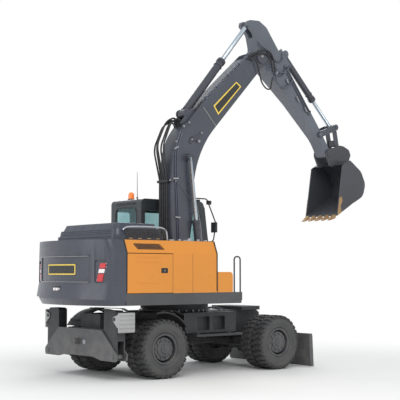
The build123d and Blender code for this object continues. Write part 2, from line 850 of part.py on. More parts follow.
tail_bulge = 45
recess_depth = 14
lamp_depth = 26
plate_y = -25
lamp_y = 1030
rear_panel = tail_band(recess_depth, -tail_bulge, 0, 1640, 1720, 2180, 60)
plate_band = tail_band(recess_depth, recess_depth - 8, plate_y, 930, 1834, 2050, 30)
lamp_recesses = [
    tail_band(lamp_depth, -tail_bulge, sign * lamp_y, 250, 1706, 2100, 50) for sign in (1, -1)
]
# columns: places of the lenses' middles across and their lower and upper edges
lens_rows = [(1706 + 30, 1880), (1900, 1975), (1990, 2065)]
lenses = [
    tail_band(lamp_depth, 8, sign * (lamp_y - 10), 120, low_z, high_z, 12)
    for sign in (1, -1)
    for low_z, high_z in lens_rows
]
# columns: height and outset of the tail's sections
tail_sections = [
    (deck_bottom_z, 25, 0),
    (deck_bottom_z + 110, -tail_bulge, 0),
    (1700, 0, 0),
    (crease_z, 0, 0),
    (panel_top_z, 0, panel_lean),
]

with BuildPart() as counterweight:
    for lower, upper in zip(tail_sections, tail_sections[1:]):
        for level, inset, lean in (lower, upper):
            with BuildSketch(Plane.XY.offset(level)):
                tail_outline(inset, lean)
        loft(ruled=True)
    for cut in (rear_panel, *lamp_recesses):
        add(cut, mode=Mode.SUBTRACT)
    add(plate_band)
    # raised underside at the left rear corner
    with BuildSketch(Plane.XY.offset(deck_bottom_z)):
        with Locations((slew_x - tail_radius, half_width)):
            Rectangle(1100, 2 * (half_width - 850))
    extrude(amount=130, mode=Mode.SUBTRACT)
    # threaded holes for the lifting eyes
    with BuildSketch(Plane.XY.offset(panel_top_z)):
        with Locations((lift_x, lift_y), (lift_x, -lift_y)):
            Circle(lift_hole)
    extrude(amount=-70, mode=Mode.SUBTRACT)
counterweight.part.label = "counterweight"
export_step(counterweight.part, "parts/counterweight.step")

# Lamps in the tail's recesses
with BuildPart() as lamps:
    for lens in lenses:
        add(lens)
lamps.part.label = "lamps"
export_step(lamps.part, "parts/lamps.step")

# Side housings: the panels beside the engine bay open as doors
door_front_x = slew_x - 998
door_low_z = deck_top_z + 8
door_high_z = crease_z - 12
housing_depth = 640


def housing_outline(sign, inner):
    """Cross-section of a side housing seen from behind, leaning in above the crease."""
    with BuildLine() as border:
        Polyline(
            (sign * inner, deck_top_z),
            (sign * half_width, deck_top_z),
            (sign * half_width, crease_z),
            (sign * (half_width - panel_lean), panel_top_z),
            (sign * inner, panel_top_z),
            close=True,
        )
    make_face(border.edges())


with BuildPart() as housings:
    for sign, front_x in ((-1, housing_front_x), (1, cab_rear_x - 25)):
        inner_y = half_width - housing_depth
        with BuildSketch(across(door_front_x + door_gap)):
            housing_outline(sign, inner_y)
        extrude(amount=front_x - door_front_x - door_gap)
        # roof rail over the door
        with BuildSketch(across(counterweight_front_x)):
            with BuildLine():
                Polyline(
                    (sign * half_width, crease_z),
                    (sign * (half_width - panel_lean), panel_top_z),
                    (sign * (hood_half_width - 60), panel_top_z),
                    (sign * (hood_half_width - 60), panel_top_z - sheet),
                    (sign * (half_width - panel_lean - 60), panel_top_z - sheet),
                    (sign * (half_width - 45), crease_z),
                    close=True,
                )
            make_face()
        extrude(amount=door_front_x + door_gap - counterweight_front_x)
    # box in front of the right housing
    with BuildSketch(side(-half_width)):
        outline(
            [
                (housing_front_x + 12, deck_top_z),
                (housing_front_x + 385, deck_top_z),
                (housing_front_x + 385, deck_top_z + 380),
                (housing_front_x + 12, deck_top_z + 380),
            ],
            [10, 20, 70, 50],
        )
    extrude(amount=-480)
    # vents sunk in the leaning panels over the doors
    for sign in (1, -1):
        lean_plane = Plane(
            origin=(rear_axle_x, sign * half_width, crease_z),
            x_dir=(1, 0, 0),
            z_dir=(0, sign * (panel_top_z - crease_z), panel_lean),
        )
        with BuildSketch(lean_plane):
            with BuildLine() as vent:
                FilletPolyline(
                    (-699, -sign * 176),
                    (-108, -sign * 176),
                    (-5, -sign * 66),
                    (-613, -sign * 66),
                    radius=[12, 12, 12, 12],
                    close=True,
                )
            make_face(vent.edges())
        extrude(amount=-14, mode=Mode.SUBTRACT)
housings.part.label = "housings"
export_step(housings.part, "parts/housings.step")

door_thickness = 40
for side_name, sign in (("right", -1), ("left", 1)):
    with BuildPart() as side_door:
        with BuildSketch(side(sign * half_width)):
            with Locations(((door_rear_x + door_front_x) / 2, (door_low_z + door_high_z) / 2)):
                RectangleRounded(door_front_x - door_rear_x, door_high_z - door_low_z, 18)
        extrude(amount=sign * door_thickness)
        with BuildSketch(Plane.XY.offset(door_low_z)):
            with Locations((door_rear_x + hinge_inset_x, sign * (half_width - hinge_inset_y))):
                Circle(hinge_radius + fit)
        extrude(amount=hinge_reach, mode=Mode.SUBTRACT)
    side_door.part.label = f"side_door_{side_name}"
    export_step(side_door.part, f"parts/{side_door.part.label}.step")

# Engine and its radiator, one plain block under the hood
with BuildPart() as engine:
    with BuildSketch(Plane.XY.offset(floor_z + 130)):
        with Locations(((counterweight_front_x + door_front_x) / 2, 0)):
            RectangleRounded(760, 1050, 40)
    extrude(amount=panel_top_z - 250 - floor_z)
engine.part.label = "engine"
export_step(engine.part, "parts/engine.step")

# Hood over the engine bay
hood_rear_x = counterweight_front_x - 90
hood_length = hood_front_x - hood_rear_x
hood_middle_x = (hood_rear_x + hood_front_x) / 2
# columns: lower and upper edge, how far the tier is drawn in, slope of its sides in degrees
hood_tiers = [
    (panel_top_z + face_gap, panel_top_z + 95, 0, 4),
    (panel_top_z + 95, panel_top_z + 200, 28, 14),
    (panel_top_z + 200, hood_top_z, 78, 28),
]
hood_pin_y = 300
hood_pin_radius = 8
with BuildPart() as hood:
    for low_z, high_z, drawn_in, slope in hood_tiers:
        with BuildSketch(Plane.XY.offset(low_z)):
            with Locations((hood_middle_x, 0)):
                RectangleRounded(hood_length - 2 * drawn_in, 2 * (hood_half_width - drawn_in), 130)
        extrude(amount=high_z - low_z, taper=slope)
    fillet(hood.faces().sort_by(Axis.Z)[-1].edges(), 24)
    with BuildSketch(Plane.XY.offset(panel_top_z + face_gap)):
        with Locations((hood_middle_x, 0)):
            RectangleRounded(hood_length - 2 * 78 - 2 * sheet, 2 * (hood_half_width - 78 - sheet), 60)
    extrude(amount=200, mode=Mode.SUBTRACT)
    # hinge pins along the front edge
    for sign in (1, -1):
        with BuildSketch(side(sign * hood_pin_y)):
            with Locations((hood_front_x, panel_top_z)):
                Circle(hood_pin_radius)
        extrude(amount=30, both=True)
hood.part.label = "hood"
export_step(hood.part, "parts/hood.step")

# Cab: a hollow shell with its windows cut, seen from the side
cab_left_y = half_width
cab_front_x = cab_rear_x + cab_length
cab_bottom_z = deck_top_z
cab_middle_y = (cab_right_y + cab_left_y) / 2
cab_width = cab_left_y - cab_right_y
cab_side = [
    (cab_rear_x, cab_bottom_z),
    (cab_front_x - 60, cab_bottom_z),
    (cab_front_x, cab_bottom_z + 150),
    (cab_front_x, 2250),
    (cab_front_x - 175, cab_roof_z),
    (cab_rear_x, cab_roof_z),
]
cab_radii = [20, 60, 60, 400, 110, 90]
cab_inside = [
    (cab_rear_x + cab_wall, cab_bottom_z + 60),
    (cab_front_x - cab_wall, cab_bottom_z + 60),
    (cab_front_x - cab_wall, 2250),
    (cab_front_x - 175 - cab_wall, cab_roof_z - 80),
    (cab_rear_x + cab_wall, cab_roof_z - 80),
]
cab_inside_radii = [20, 40, 400, 80, 60]
door_x = (cab_rear_x + 520, cab_front_x - 330)
door_z = (cab_bottom_z + 60, cab_roof_z - 120)
# columns: middle along the wall, middle height, width, height, corner radius
rear_window = (cab_middle_y, 2900, 700, 520, 110)
right_windows = [
    (cab_rear_x + 290, 2790, 400, 620, 60),
    (cab_rear_x + 1010, 2560, 900, 1080, 60),
]
front_window = (cab_middle_y, 2630, 860, 1020, 60)
left_window = (cab_rear_x + 280, 2830, 360, 560, 60)
front_low_window = (cab_middle_y, 1860, 860, 400, 50)


def window(middle, level, width, height, corner):
    with Locations((middle, level)):
        RectangleRounded(width, height, corner)


with BuildPart() as cab_shell:
    with BuildSketch(side(cab_middle_y)):
        outline(cab_side, cab_radii)
    extrude(amount=cab_width / 2, both=True)
    with BuildSketch(side(cab_middle_y)):
        outline(cab_inside, cab_inside_radii)
    extrude(amount=cab_width / 2 - cab_wall, both=True, mode=Mode.SUBTRACT)
    with BuildSketch(across(cab_rear_x)):
        window(*rear_window)
    extrude(amount=cab_wall, mode=Mode.SUBTRACT)
    with BuildSketch(side(cab_right_y + cab_wall)):
        for row in right_windows:
            window(*row)
    extrude(amount=cab_wall, mode=Mode.SUBTRACT)
    with BuildSketch(side(cab_left_y)):
        window(*left_window)
        with Locations(((door_x[0] + door_x[1]) / 2, (door_z[0] + door_z[1]) / 2)):
            RectangleRounded(door_x[1] - door_x[0] + 2 * door_gap, door_z[1] - door_z[0] + 2 * door_gap, 12)
    extrude(amount=cab_wall, mode=Mode.SUBTRACT)
    with BuildSketch(across(cab_front_x - 400)):
        window(*front_window)
        window(*front_low_window)
    extrude(amount=400, mode=Mode.SUBTRACT)
    # lower hinge pin of the door
    with BuildSketch(Plane.XY.offset(door_z[0] - 10)):
        with Locations((door_x[0] + hinge_inset_x, cab_left_y - hinge_inset_y)):
            Circle(hinge_radius)
    extrude(amount=hinge_reach + 10)
cab_shell.part.label = "cab_shell"
export_step(cab_shell.part, "parts/cab_shell.step")

with BuildPart() as cab_glass:
    with BuildSketch(across(cab_rear_x + cab_wall / 2 - glass)):
        window(*rear_window)
    extrude(amount=glass)
    with BuildSketch(side(cab_right_y + cab_wall / 2)):
        for row in right_windows:
            window(*row)
    extrude(amount=glass)
    with BuildSketch(side(cab_left_y - cab_wall / 2)):
        window(*left_window)
    extrude(amount=glass)
    with BuildSketch(across(cab_front_x - 400)):
        window(*front_window)
        window(*front_low_window)
    extrude(amount=400)
    with BuildSketch(side(cab_middle_y)):
        with BuildLine():
            Polyline(
                (cab_rear_x, cab_bottom_z),
                (cab_front_x - cab_wall / 2, cab_bottom_z),
                (cab_front_x - cab_wall / 2, 2250),
                (cab_front_x - 175 - cab_wall / 2, cab_roof_z),
                (cab_rear_x, cab_roof_z),
                close=True,
            )
        make_face()
        with BuildLine():
            Polyline(
                (cab_rear_x + cab_wall, cab_bottom_z + 10),
                (cab_front_x - cab_wall / 2 - glass, cab_bottom_z + 10),
                (cab_front_x - cab_wall / 2 - glass, 2250),
                (cab_front_x - 175 - cab_wall / 2 - glass, cab_roof_z - 10),
                (cab_rear_x + cab_wall, cab_roof_z - 10),
                close=True,
            )
        make_face(mode=Mode.SUBTRACT)
    extrude(amount=cab_width / 2, both=True, mode=Mode.INTERSECT)
cab_glass.part.label = "cab_glass"
export_step(cab_glass.part, "parts/cab_glass.step")

door_window = ((door_x[0] + door_x[1]) / 2, 2600, door_x[1] - door_x[0] - 120, 1050, 60)
with BuildPart() as cab_door:
    with BuildSketch(side(cab_left_y)):
        with Locations(((door_x[0] + door_x[1]) / 2, (door_z[0] + door_z[1]) / 2)):
            RectangleRounded(door_x[1] - door_x[0], door_z[1] - door_z[0], 15)
        with Locations((door_window[0], door_window[1])):
            RectangleRounded(door_window[2], door_window[3], door_window[4], mode=Mode.SUBTRACT)
    extrude(amount=cab_wall - 3)
    with BuildSketch(Plane.XY.offset(door_z[0])):
        with Locations((door_x[0] + hinge_inset_x, cab_left_y - hinge_inset_y)):
            Circle(hinge_radius + fit)
    extrude(amount=hinge_reach + 5, mode=Mode.SUBTRACT)
cab_door.part.label = "cab_door"
export_step(cab_door.part, "parts/cab_door.step")

with BuildPart() as door_glass:
    with BuildSketch(side(cab_left_y - cab_wall / 2)):
        window(*door_window)
    extrude(amount=glass)
door_glass.part.label = "door_glass"
export_step(door_glass.part, "parts/door_glass.step")

# Seat with its consoles on the cab floor
seat_x = cab_rear_x + 560
cab_floor_z = cab_bottom_z + 60
with BuildPart() as cab_interior:
    with BuildSketch(Plane.XY.offset(cab_floor_z)):
        with Locations((seat_x, cab_middle_y)):
            RectangleRounded(420, 420, 40)
    extrude(amount=330)
    with BuildSketch(Plane.XY.offset(cab_floor_z + 330)):
        with Locations((seat_x, cab_middle_y)):
            RectangleRounded(520, 520, 80)
    extrude(amount=130)
    with BuildSketch(side(cab_middle_y)):
        outline(
            [
                (seat_x - 250, cab_floor_z + 400),
                (seat_x - 130, cab_floor_z + 400),
                (seat_x - 190, cab_floor_z + 1250),
                (seat_x - 290, cab_floor_z + 1250),
            ],
            [30, 30, 40, 40],
        )
    extrude(amount=240, both=True)
    for sign in (1, -1):
        with BuildSketch(Plane.XY.offset(cab_floor_z)):
            with Locations((seat_x + 60, cab_middle_y + sign * 350)):
                RectangleRounded(620, 150, 40)
        extrude(amount=620)
    with BuildSketch(Plane.XY.offset(cab_floor_z)):
        with Locations((cab_front_x - 330, cab_middle_y)):
            RectangleRounded(150, 130, 30)
    extrude(amount=780)
cab_interior.part.label = "cab_interior"
export_step(cab_interior.part, "parts/cab_interior.step")

# Handrail and mirror stay of pipe on the right front corner
rail_radius = 14
rail_y = -half_width + 30
with BuildPart() as rails:
    with BuildLine() as rail_path:
        FilletPolyline(
            (deck_front_x - 175, rail_y, deck_top_z),
            (deck_front_x - 175, rail_y, 2190),
            (deck_front_x - 25, rail_y, 2190),
            (deck_front_x - 25, rail_y, deck_top_z),
            radius=60,
        )
    with BuildSketch(Plane.XY.offset(deck_top_z)):
        with Locations((deck_front_x - 175, rail_y)):
            Circle(rail_radius)
    sweep(path=rail_path.wires()[0])
rails.part.label = "rails"
export_step(rails.part, "parts/rails.step")

# Mirror on a bent stay in front of the cab's right pillar, with a work lamp on the bend
mirror_y = cab_right_y + 30
mirror_middle_z = 2820
with BuildPart() as mirror_stay:
    pipe_run(
        [
            (cab_front_x - 400, mirror_y, cab_roof_z - 20),
            (cab_front_x - 400, mirror_y, cab_roof_z + 66),
            (cab_front_x - 60, mirror_y, cab_roof_z + 66),
            (cab_front_x + 185, mirror_y, 2900),
            (cab_front_x + 120, mirror_y, 2560),
            (cab_front_x - 20, mirror_y, 2440),
        ],
        [45, 90, 110, 70],
        rail_radius - 1,
    )
    with BuildSketch(Plane.XY.offset(mirror_middle_z - 105)):
        with Locations((cab_front_x + 190, mirror_y + 62)):
            RectangleRounded(55, 170, 24)
    extrude(amount=210)
    with BuildSketch(across(cab_front_x - 40)):
        with Locations((mirror_y, cab_roof_z - 8)):
            RectangleRounded(84, 84, 20)
    extrude(amount=70)
    add(cab_shell.part, mode=Mode.SUBTRACT)
mirror_stay.part.label = "mirror_stay"
export_step(mirror_stay.part, "parts/mirror_stay.step")

# Amber beacon on the cab's roof and two antennas
beacon_place = (cab_rear_x + 330, cab_left_y - 230)
with BuildPart() as beacon:
    with BuildSketch(Plane.XY.offset(cab_roof_z)):
        with Locations(beacon_place):
            Circle(62)
    extrude(amount=26)
    with BuildSketch(Plane.XY.offset(cab_roof_z + 26)):
        with Locations(beacon_place):
            Circle(52)
    extrude(amount=88, taper=4)
    fillet(beacon.faces().sort_by(Axis.Z)[-1].edges(), 30)
    for place, height, radius in (
        ((cab_rear_x + 700, cab_right_y + 160), 520, 4),
        ((cab_rear_x + 1050, cab_right_y + 260), 130, 16),
    ):
        with BuildSketch(Plane.XY.offset(cab_roof_z)):
            with Locations(place):
                Circle(radius)
        extrude(amount=height)
beacon.part.label = "beacon"
export_step(beacon.part, "parts/beacon.step")

# Boom: a deep box that bends forward, with a fork at its tip
# columns: place from the foot pin, corner radius
boom_outline = [
    (-158, 0, 0),
    (-170, 2580, 1200),
    (550, 3415, 3000),
    (1890, 4640, 200),
    (2170, 4740, 60),
    (2316, 4490, 0),
    (365, 2390, 2000),
    (355, 1250, 1500),
    (158, 0, 0),
]
arm_cylinder_base = (boom_foot[0] + 249, boom_foot[1] + 3217)
boom_cylinder_eye = (boom_foot[0] + 202, boom_foot[1] + 2328)
tail_pin = (boom_pin[0] - 269, boom_pin[1] + 643)
fork_radius = 455
with BuildPart() as boom:
    with BuildSketch(side(boom_y)):
        outline(
            shifted(boom_foot, [(px, pz) for px, pz, corner in boom_outline]),
            [corner for px, pz, corner in boom_outline],
        )
        with Locations(boom_foot):
            Circle(160)
        with Locations(boom_pin):
            Circle(160)
    extrude(amount=boom_half, both=True)
    with BuildSketch(side(boom_y)):
        with Locations(boom_pin):
            Circle(fork_radius)
    extrude(amount=arm_half + side_gap, both=True, mode=Mode.SUBTRACT)
    for sign in (1, -1):
        with BuildSketch(side(boom_y + sign * boom_half)):
            with Locations(boom_pin):
                Circle(150)
        extrude(amount=-sign * 30)
        # boss of the boom cylinder
        with BuildSketch(side(boom_y + sign * boom_half)):
            with Locations(boom_cylinder_eye):
                Circle(80)
        extrude(amount=-sign * (boom_cylinder_y - 40 - side_gap - boom_half))
    # pins at the foot and at the tip
    with BuildSketch(side(boom_y)):
        with Locations(boom_foot):
            Circle(pin_radius)
    extrude(amount=boom_plate_y + frame_plate / 2 + 12, both=True)
    with BuildSketch(side(boom_y)):
        with Locations(boom_pin):
            Circle(pin_radius)
    extrude(amount=boom_half + 42, both=True)
    # lugs of the arm cylinder on the boom's back
    for sign in (1, -1):
        with BuildSketch(side(boom_y + sign * 113)):
            with Locations(arm_cylinder_base):
                Circle(92)
            with Locations(Location((arm_cylinder_base[0] + 60, arm_cylinder_base[1] - 120), 50)):
                Rectangle(420, 240)
        extrude(amount=14, both=True)
    with BuildSketch(side(boom_y)):
        with Locations(arm_cylinder_base):
            Circle(pin_radius)
    extrude(amount=140, both=True)
boom.part.label = "boom"
export_step(boom.part, "parts/boom.step")

# Hoses behind the boom, held by two clamps, and the pipes on its upper side
hose_radius = 17
boom_back_x = boom_foot[0] - 165
# columns: place beside the boom's middle, how far the bulge stands out, height of its end
hose_rows = [(165, 150, 0), (118, 122, 40), (60, 150, 80), (0, 110, 30), (-60, 90, 60)]
with BuildPart() as boom_lines:
    for offset_y, bulge, rise in hose_rows:
        hose_y = boom_y + offset_y
        pipe_run(
            [
                (boom_back_x - 40, hose_y, boom_foot[1] + 260),
                (boom_back_x - 40, hose_y, boom_foot[1] + 1880),
                (boom_back_x - 40 - bulge, hose_y, boom_foot[1] + 2480 + rise),
                (boom_back_x + 110 - bulge / 2, hose_y, boom_foot[1] + 2960 + rise),
                (arm_cylinder_base[0] - 130, hose_y, boom_foot[1] + 3080 + rise),
                (arm_cylinder_base[0] - 90, hose_y, boom_foot[1] + 2960),
            ],
            [500, 400, 300, 90],
            hose_radius,
        )
    for level in (boom_foot[1] + 420, boom_foot[1] + 1830):
        with BuildSketch(Plane.XY.offset(level)):
            with Locations((boom_back_x - 30, boom_y + 52)):
                RectangleRounded(92, 330, 12)
        extrude(amount=44)
    # pipes from the lugs towards the boom's tip
    # columns: place beside the boom's middle, how far the pipe ends before the tip
    for offset_y, short in ((-170, 0), (-142, 330)):
        pipe_run(
            [
                (boom_foot[0] + 430, boom_y + offset_y, boom_foot[1] + 3290),
                (boom_foot[0] + 560, boom_y + offset_y, boom_foot[1] + 3452),
                (boom_foot[0] + 1960 - short, boom_y + offset_y, boom_foot[1] + 4733 - short * 0.915),
            ],
            [120],
            13,
        )
    for number in range(4):
        with BuildSketch(side(boom_y - 158)):
            with Locations((boom_foot[0] + 700 + number * 300, boom_foot[1] + 3565 + number * 274.5)):
                Rectangle(60, 60, rotation=42.4)
        extrude(amount=28, both=True)
    add(boom.part, mode=Mode.SUBTRACT)
boom_lines.part.label = "boom_lines"
export_step(boom_lines.part, "parts/boom_lines.step")

# Arm, with a forked tail for its cylinder and a lug for the bucket cylinder
# columns: place from the boom pin, corner radius
arm_outline = [
    (-364, 640, 60),
    (-330, 745, 60),
    (-40, 770, 120),
    (170, 665, 220),
    (1768, -1380, 1500),
    (2104, -1850, 0),
    (1954, -1945, 0),
    (1759, -1616, 900),
    (932, -874, 2500),
    (177, -290, 300),
    (-150, -80, 60),
    (-93, 194, 300),
    (-170, 500, 200),
]
rocker_pin = (bucket_pin[0] - 265, bucket_pin[1] + 394)
rocker_joint = (bucket_pin[0] + 244, bucket_pin[1] + 601)
bucket_cylinder_base = (boom_pin[0] + 780, boom_pin[1] + 186)
link_pin = (bucket_pin[0] + 341, bucket_pin[1] + 121)
with BuildPart() as arm:
    with BuildSketch(side(boom_y)):
        outline(
            shifted(boom_pin, [(px, pz) for px, pz, corner in arm_outline]),
            [corner for px, pz, corner in arm_outline],
        )
        with Locations(bucket_pin):
            Circle(92)
    extrude(amount=arm_half, both=True)
    # room for the cylinder's rod eye between the tail plates
    with BuildSketch(side(boom_y)):
        with Locations(tail_pin):
            Circle(262)
    extrude(amount=62, both=True, mode=Mode.SUBTRACT)
    for hole, radius in ((boom_pin, pin_radius), (bucket_pin, pin_radius)):
        with BuildSketch(side(boom_y)):
            with Locations(hole):
                Circle(radius + fit)
        extrude(amount=arm_half, both=True, mode=Mode.SUBTRACT)
    for sign in (1, -1):
        with BuildSketch(side(boom_y + sign * 97)):
            with Locations(bucket_cylinder_base):
                Circle(80)
            with Locations(Location((bucket_cylinder_base[0] - 85, bucket_cylinder_base[1] - 120), -50)):
                Rectangle(400, 200)
        extrude(amount=12, both=True)
    with BuildSketch(side(boom_y)):
        with Locations(bucket_cylinder_base):
            Circle(pin_radius - 5)
    extrude(amount=118, both=True)
    with BuildSketch(side(boom_y)):
        with Locations(rocker_pin):
            Circle(pin_radius - 5)
    extrude(amount=arm_half + 45, both=True)
arm.part.label = "arm"
export_step(arm.part, "parts/arm.step")

# Pipes on the arm's right side with the loops of hose that feed them
arm_lines_y = boom_y - arm_half - (hose_radius - 3) - fit
# columns: route from the boom pin, corner radii
arm_routes = [
    ([(150, 150), (330, 10), (520, -60), (640, 60), (600, 170)], [140, 120, 90]),
    ([(330, -230), (420, -330), (600, -330), (700, -200), (680, -80)], [80, 90, 80]),
    ([(730, -115), (1400, -972), (1470, -1010)], [80]),
    ([(760, -243), (1380, -1037), (1440, -1080)], [80]),
]
with BuildPart() as arm_lines:
    for places, radii in arm_routes:
        pipe_run(
            [(boom_pin[0] + px, arm_lines_y, boom_pin[1] + pz) for px, pz in places],
            radii,
            hose_radius - 3,
        )
arm_lines.part.label = "arm_lines"
export_step(arm_lines.part, "parts/arm_lines.step")

# Rocker plates on the arm and the link down to the bucket, each with short pins of its own
rocker_plate = 30
linkage_radius = pin_radius - 5
link_half = 118
link_plate = 22
with BuildPart() as rocker:
    for sign in (1, -1):
        with BuildSketch(side(boom_y + sign * (arm_half + side_gap))):
            link_shape(rocker_pin, rocker_joint, 66)
            with Locations(rocker_pin):
                Circle(linkage_radius + fit, mode=Mode.SUBTRACT)
        extrude(amount=-sign * rocker_plate)
        with BuildSketch(side(boom_y + sign * (link_half - link_plate))):
            with Locations(rocker_joint):
                Circle(linkage_radius)
        extrude(amount=-sign * (arm_half + side_gap + rocker_plate + 12 - link_half + link_plate))
        with BuildSketch(side(boom_y + sign * (link_half + side_gap))):
            with Locations(rocker_joint):
                Circle(60)
        extrude(amount=-sign * (arm_half - link_half))
rocker.part.label = "rocker"
export_step(rocker.part, "parts/rocker.step")

link_web = (
    rocker_joint[0] * 0.28 + link_pin[0] * 0.72,
    rocker_joint[1] * 0.28 + link_pin[1] * 0.72,
)
with BuildPart() as bucket_link:
    for sign in (1, -1):
        with BuildSketch(side(boom_y + sign * link_half)):
            link_shape(rocker_joint, link_pin, 62)
            with Locations(rocker_joint):
                Circle(linkage_radius + fit, mode=Mode.SUBTRACT)
        extrude(amount=sign * link_plate)
    with BuildSketch(side(boom_y)):
        with Locations(Location(link_web, -79)):
            RectangleRounded(150, 70, 20)
    extrude(amount=link_half - 10, both=True)
    with BuildSketch(side(boom_y)):
        with Locations(link_pin):
            Circle(linkage_radius)
    extrude(amount=arm_half, both=True)
bucket_link.part.label = "bucket_link"
export_step(bucket_link.part, "parts/bucket_link.step")

# Bucket: a rolled shell between two side plates, its mouth towards the machine
# columns: place from the bucket pin, corner radius
bucket_outline = [
    (110, -290, 0),
    (-75, -1400, 0),
    (770, -915, 240),
    (850, -650, 190),
    (715, -385, 260),
    (350, -150, 60),
]
bucket_plate = 22
bucket_side_plate = 20
with BuildPart() as bucket:
    with BuildSketch(side(boom_y)):
        outline(
            shifted(bucket_pin, [(px, pz) for px, pz, corner in bucket_outline]),
            [corner for px, pz, corner in bucket_outline],
        )
    extrude(amount=bucket_half, both=True)
    # hollow, open at the mouth
    with BuildSketch(side(boom_y)):
        outline(
            shifted(
                bucket_pin,
                [(85, -292), (-300, -275), (-400, -1450), (-110, -1388), (752, -897), (826, -652), (700, -403), (348, -176)],
            ),
            [0, 0, 0, 0, 218, 168, 238, 40],
        )
    extrude(amount=bucket_half - bucket_side_plate, both=True, mode=Mode.SUBTRACT)
    # ears for the bucket pin and the link pin
    for sign in (1, -1):
        ear_y = arm_half + side_gap
        with BuildSketch(side(boom_y + sign * ear_y)):
            outline(
                shifted(
                    bucket_pin,
                    [
                        (-95, -50),
                        (-76, 30),
                        (-15, 78),
                        (330, 200),
                        (460, 190),
                        (640, 120),
                        (690, 0),
                        (560, -270),
                        (350, -165),
                        (115, -298),
                        (20, -280),
                    ],
                ),
                [40, 30, 60, 60, 60, 80, 60, 0, 0, 0, 0],
            )
        extrude(amount=-sign * 40)
        with BuildSketch(side(boom_y + sign * ear_y)):
            with Locations(bucket_pin):
                Circle(78)
        extrude(amount=-sign * 58)
    # wear strips round the heel
    for strip_y in (-bucket_half + 60, 0, bucket_half - 60):
        with BuildSketch(side(boom_y + strip_y)):
            outline(
                shifted(bucket_pin, [(500, -1085), (790, -932), (872, -646), (790, -515), (700, -700), (640, -860)]),
                [0, 250, 190, 0, 60, 60],
            )
        extrude(amount=45, both=True)
    with BuildSketch(side(boom_y)):
        outline(
            shifted(
                bucket_pin,
                [(85, -292), (-300, -275), (-400, -1450), (-110, -1388), (752, -897), (826, -652), (700, -403), (348, -176)],
            ),
            [0, 0, 0, 0, 218, 168, 238, 40],
        )
    extrude(amount=bucket_half - bucket_side_plate, both=True, mode=Mode.SUBTRACT)
    with BuildSketch(side(boom_y)):
        with Locations(bucket_pin):
            Circle(pin_radius)
    extrude(amount=arm_half + side_gap + 50, both=True)
bucket.part.label = "bucket"
export_step(bucket.part, "parts/bucket.step")

# Teeth and side cutters
tooth_count = 5
tooth_width = 80
lip = (bucket_pin[0] - 75, bucket_pin[1] - 1400)
tooth_spread = 2 * bucket_half - 170
with BuildPart() as bucket_teeth:
    for number in range(tooth_count):
        tooth_y = boom_y - tooth_spread / 2 + number * tooth_spread / (tooth_count - 1)
        tooth_plane = Plane(
            origin=(lip[0], tooth_y, lip[1]),
            x_dir=(-0.867, 0, -0.498),
            z_dir=(0, -1, 0),
        )
        with BuildSketch(tooth_plane):
            with BuildLine():
                Polyline((0, -38), (0, 38), (60, 40), (205, 4), (205, -8), (60, -34), close=True)
            make_face()
        extrude(amount=tooth_width / 2, both=True)
    for sign in (1, -1):
        with BuildSketch(side(boom_y + sign * bucket_half)):
            outline(
                shifted(bucket_pin, [(-8, -1000), (-75, -1400), (60, -1320), (25, -1180), (90, -1060), (55, -960)]),
                [0, 0, 20, 20, 20, 20],
            )
        extrude(amount=-sign * 14)
bucket_teeth.part.label = "bucket_teeth"
export_step(bucket_teeth.part, "parts/bucket_teeth.step")

# Hydraulic cylinders of the boom, arm and bucket
barrel_and_rod(
    "boom_cylinder",
    boom_cylinder_base,
    boom_cylinder_eye,
    (-boom_cylinder_y, boom_cylinder_y),
    (1490, 70, 43, 1780),
    in_boom_plane,
    (0, 1, 0),
    (80, 80),
    pin_radius,
    pin_radius,
)
barrel_and_rod(
    "arm_cylinder",
    arm_cylinder_base,
    tail_pin,
    (0,),
    (1570, 82, 48, 1780),
    in_boom_plane,
    (0, 1, 0),
    (186, 110),
    pin_radius,
    pin_radius,
)
barrel_and_rod(
    "bucket_cylinder",
    bucket_cylinder_base,
    rocker_joint,
    (0,),
    (1290, 72, 42, 1840),
    in_boom_plane,
    (0, 1, 0),
    (160, 90),
    pin_radius - 5,
    pin_radius - 5,
)
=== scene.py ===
import bmesh
import bpy
import json
from math import cos, pi, radians, sin
from mathutils import Matrix, Vector

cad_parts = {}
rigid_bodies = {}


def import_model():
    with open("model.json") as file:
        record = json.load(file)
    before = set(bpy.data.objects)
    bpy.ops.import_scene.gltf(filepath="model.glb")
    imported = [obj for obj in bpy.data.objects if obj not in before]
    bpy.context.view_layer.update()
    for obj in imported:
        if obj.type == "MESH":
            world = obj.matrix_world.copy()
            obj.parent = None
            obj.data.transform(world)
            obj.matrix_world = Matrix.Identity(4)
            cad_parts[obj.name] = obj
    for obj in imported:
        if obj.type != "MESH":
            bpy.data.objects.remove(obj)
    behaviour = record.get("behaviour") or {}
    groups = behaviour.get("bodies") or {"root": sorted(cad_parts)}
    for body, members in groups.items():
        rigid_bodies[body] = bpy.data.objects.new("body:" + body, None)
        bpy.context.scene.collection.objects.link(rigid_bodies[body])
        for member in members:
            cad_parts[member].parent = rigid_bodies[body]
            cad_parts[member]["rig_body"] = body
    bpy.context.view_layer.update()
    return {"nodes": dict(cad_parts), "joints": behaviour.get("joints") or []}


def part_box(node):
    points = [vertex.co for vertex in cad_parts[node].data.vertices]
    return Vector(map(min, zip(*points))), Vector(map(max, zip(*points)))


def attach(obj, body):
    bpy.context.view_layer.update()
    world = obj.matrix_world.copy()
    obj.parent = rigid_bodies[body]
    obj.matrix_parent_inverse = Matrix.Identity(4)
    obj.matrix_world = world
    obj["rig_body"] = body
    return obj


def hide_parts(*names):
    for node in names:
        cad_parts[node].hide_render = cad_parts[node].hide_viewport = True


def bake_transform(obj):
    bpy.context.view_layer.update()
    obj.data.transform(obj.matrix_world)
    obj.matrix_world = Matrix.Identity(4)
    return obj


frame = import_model()
nodes = frame["nodes"]
joints = {joint["name"]: joint for joint in frame["joints"]}
sideNames = {1: "left", -1: "right"}
print("frame loaded:", len(nodes), "nodes")


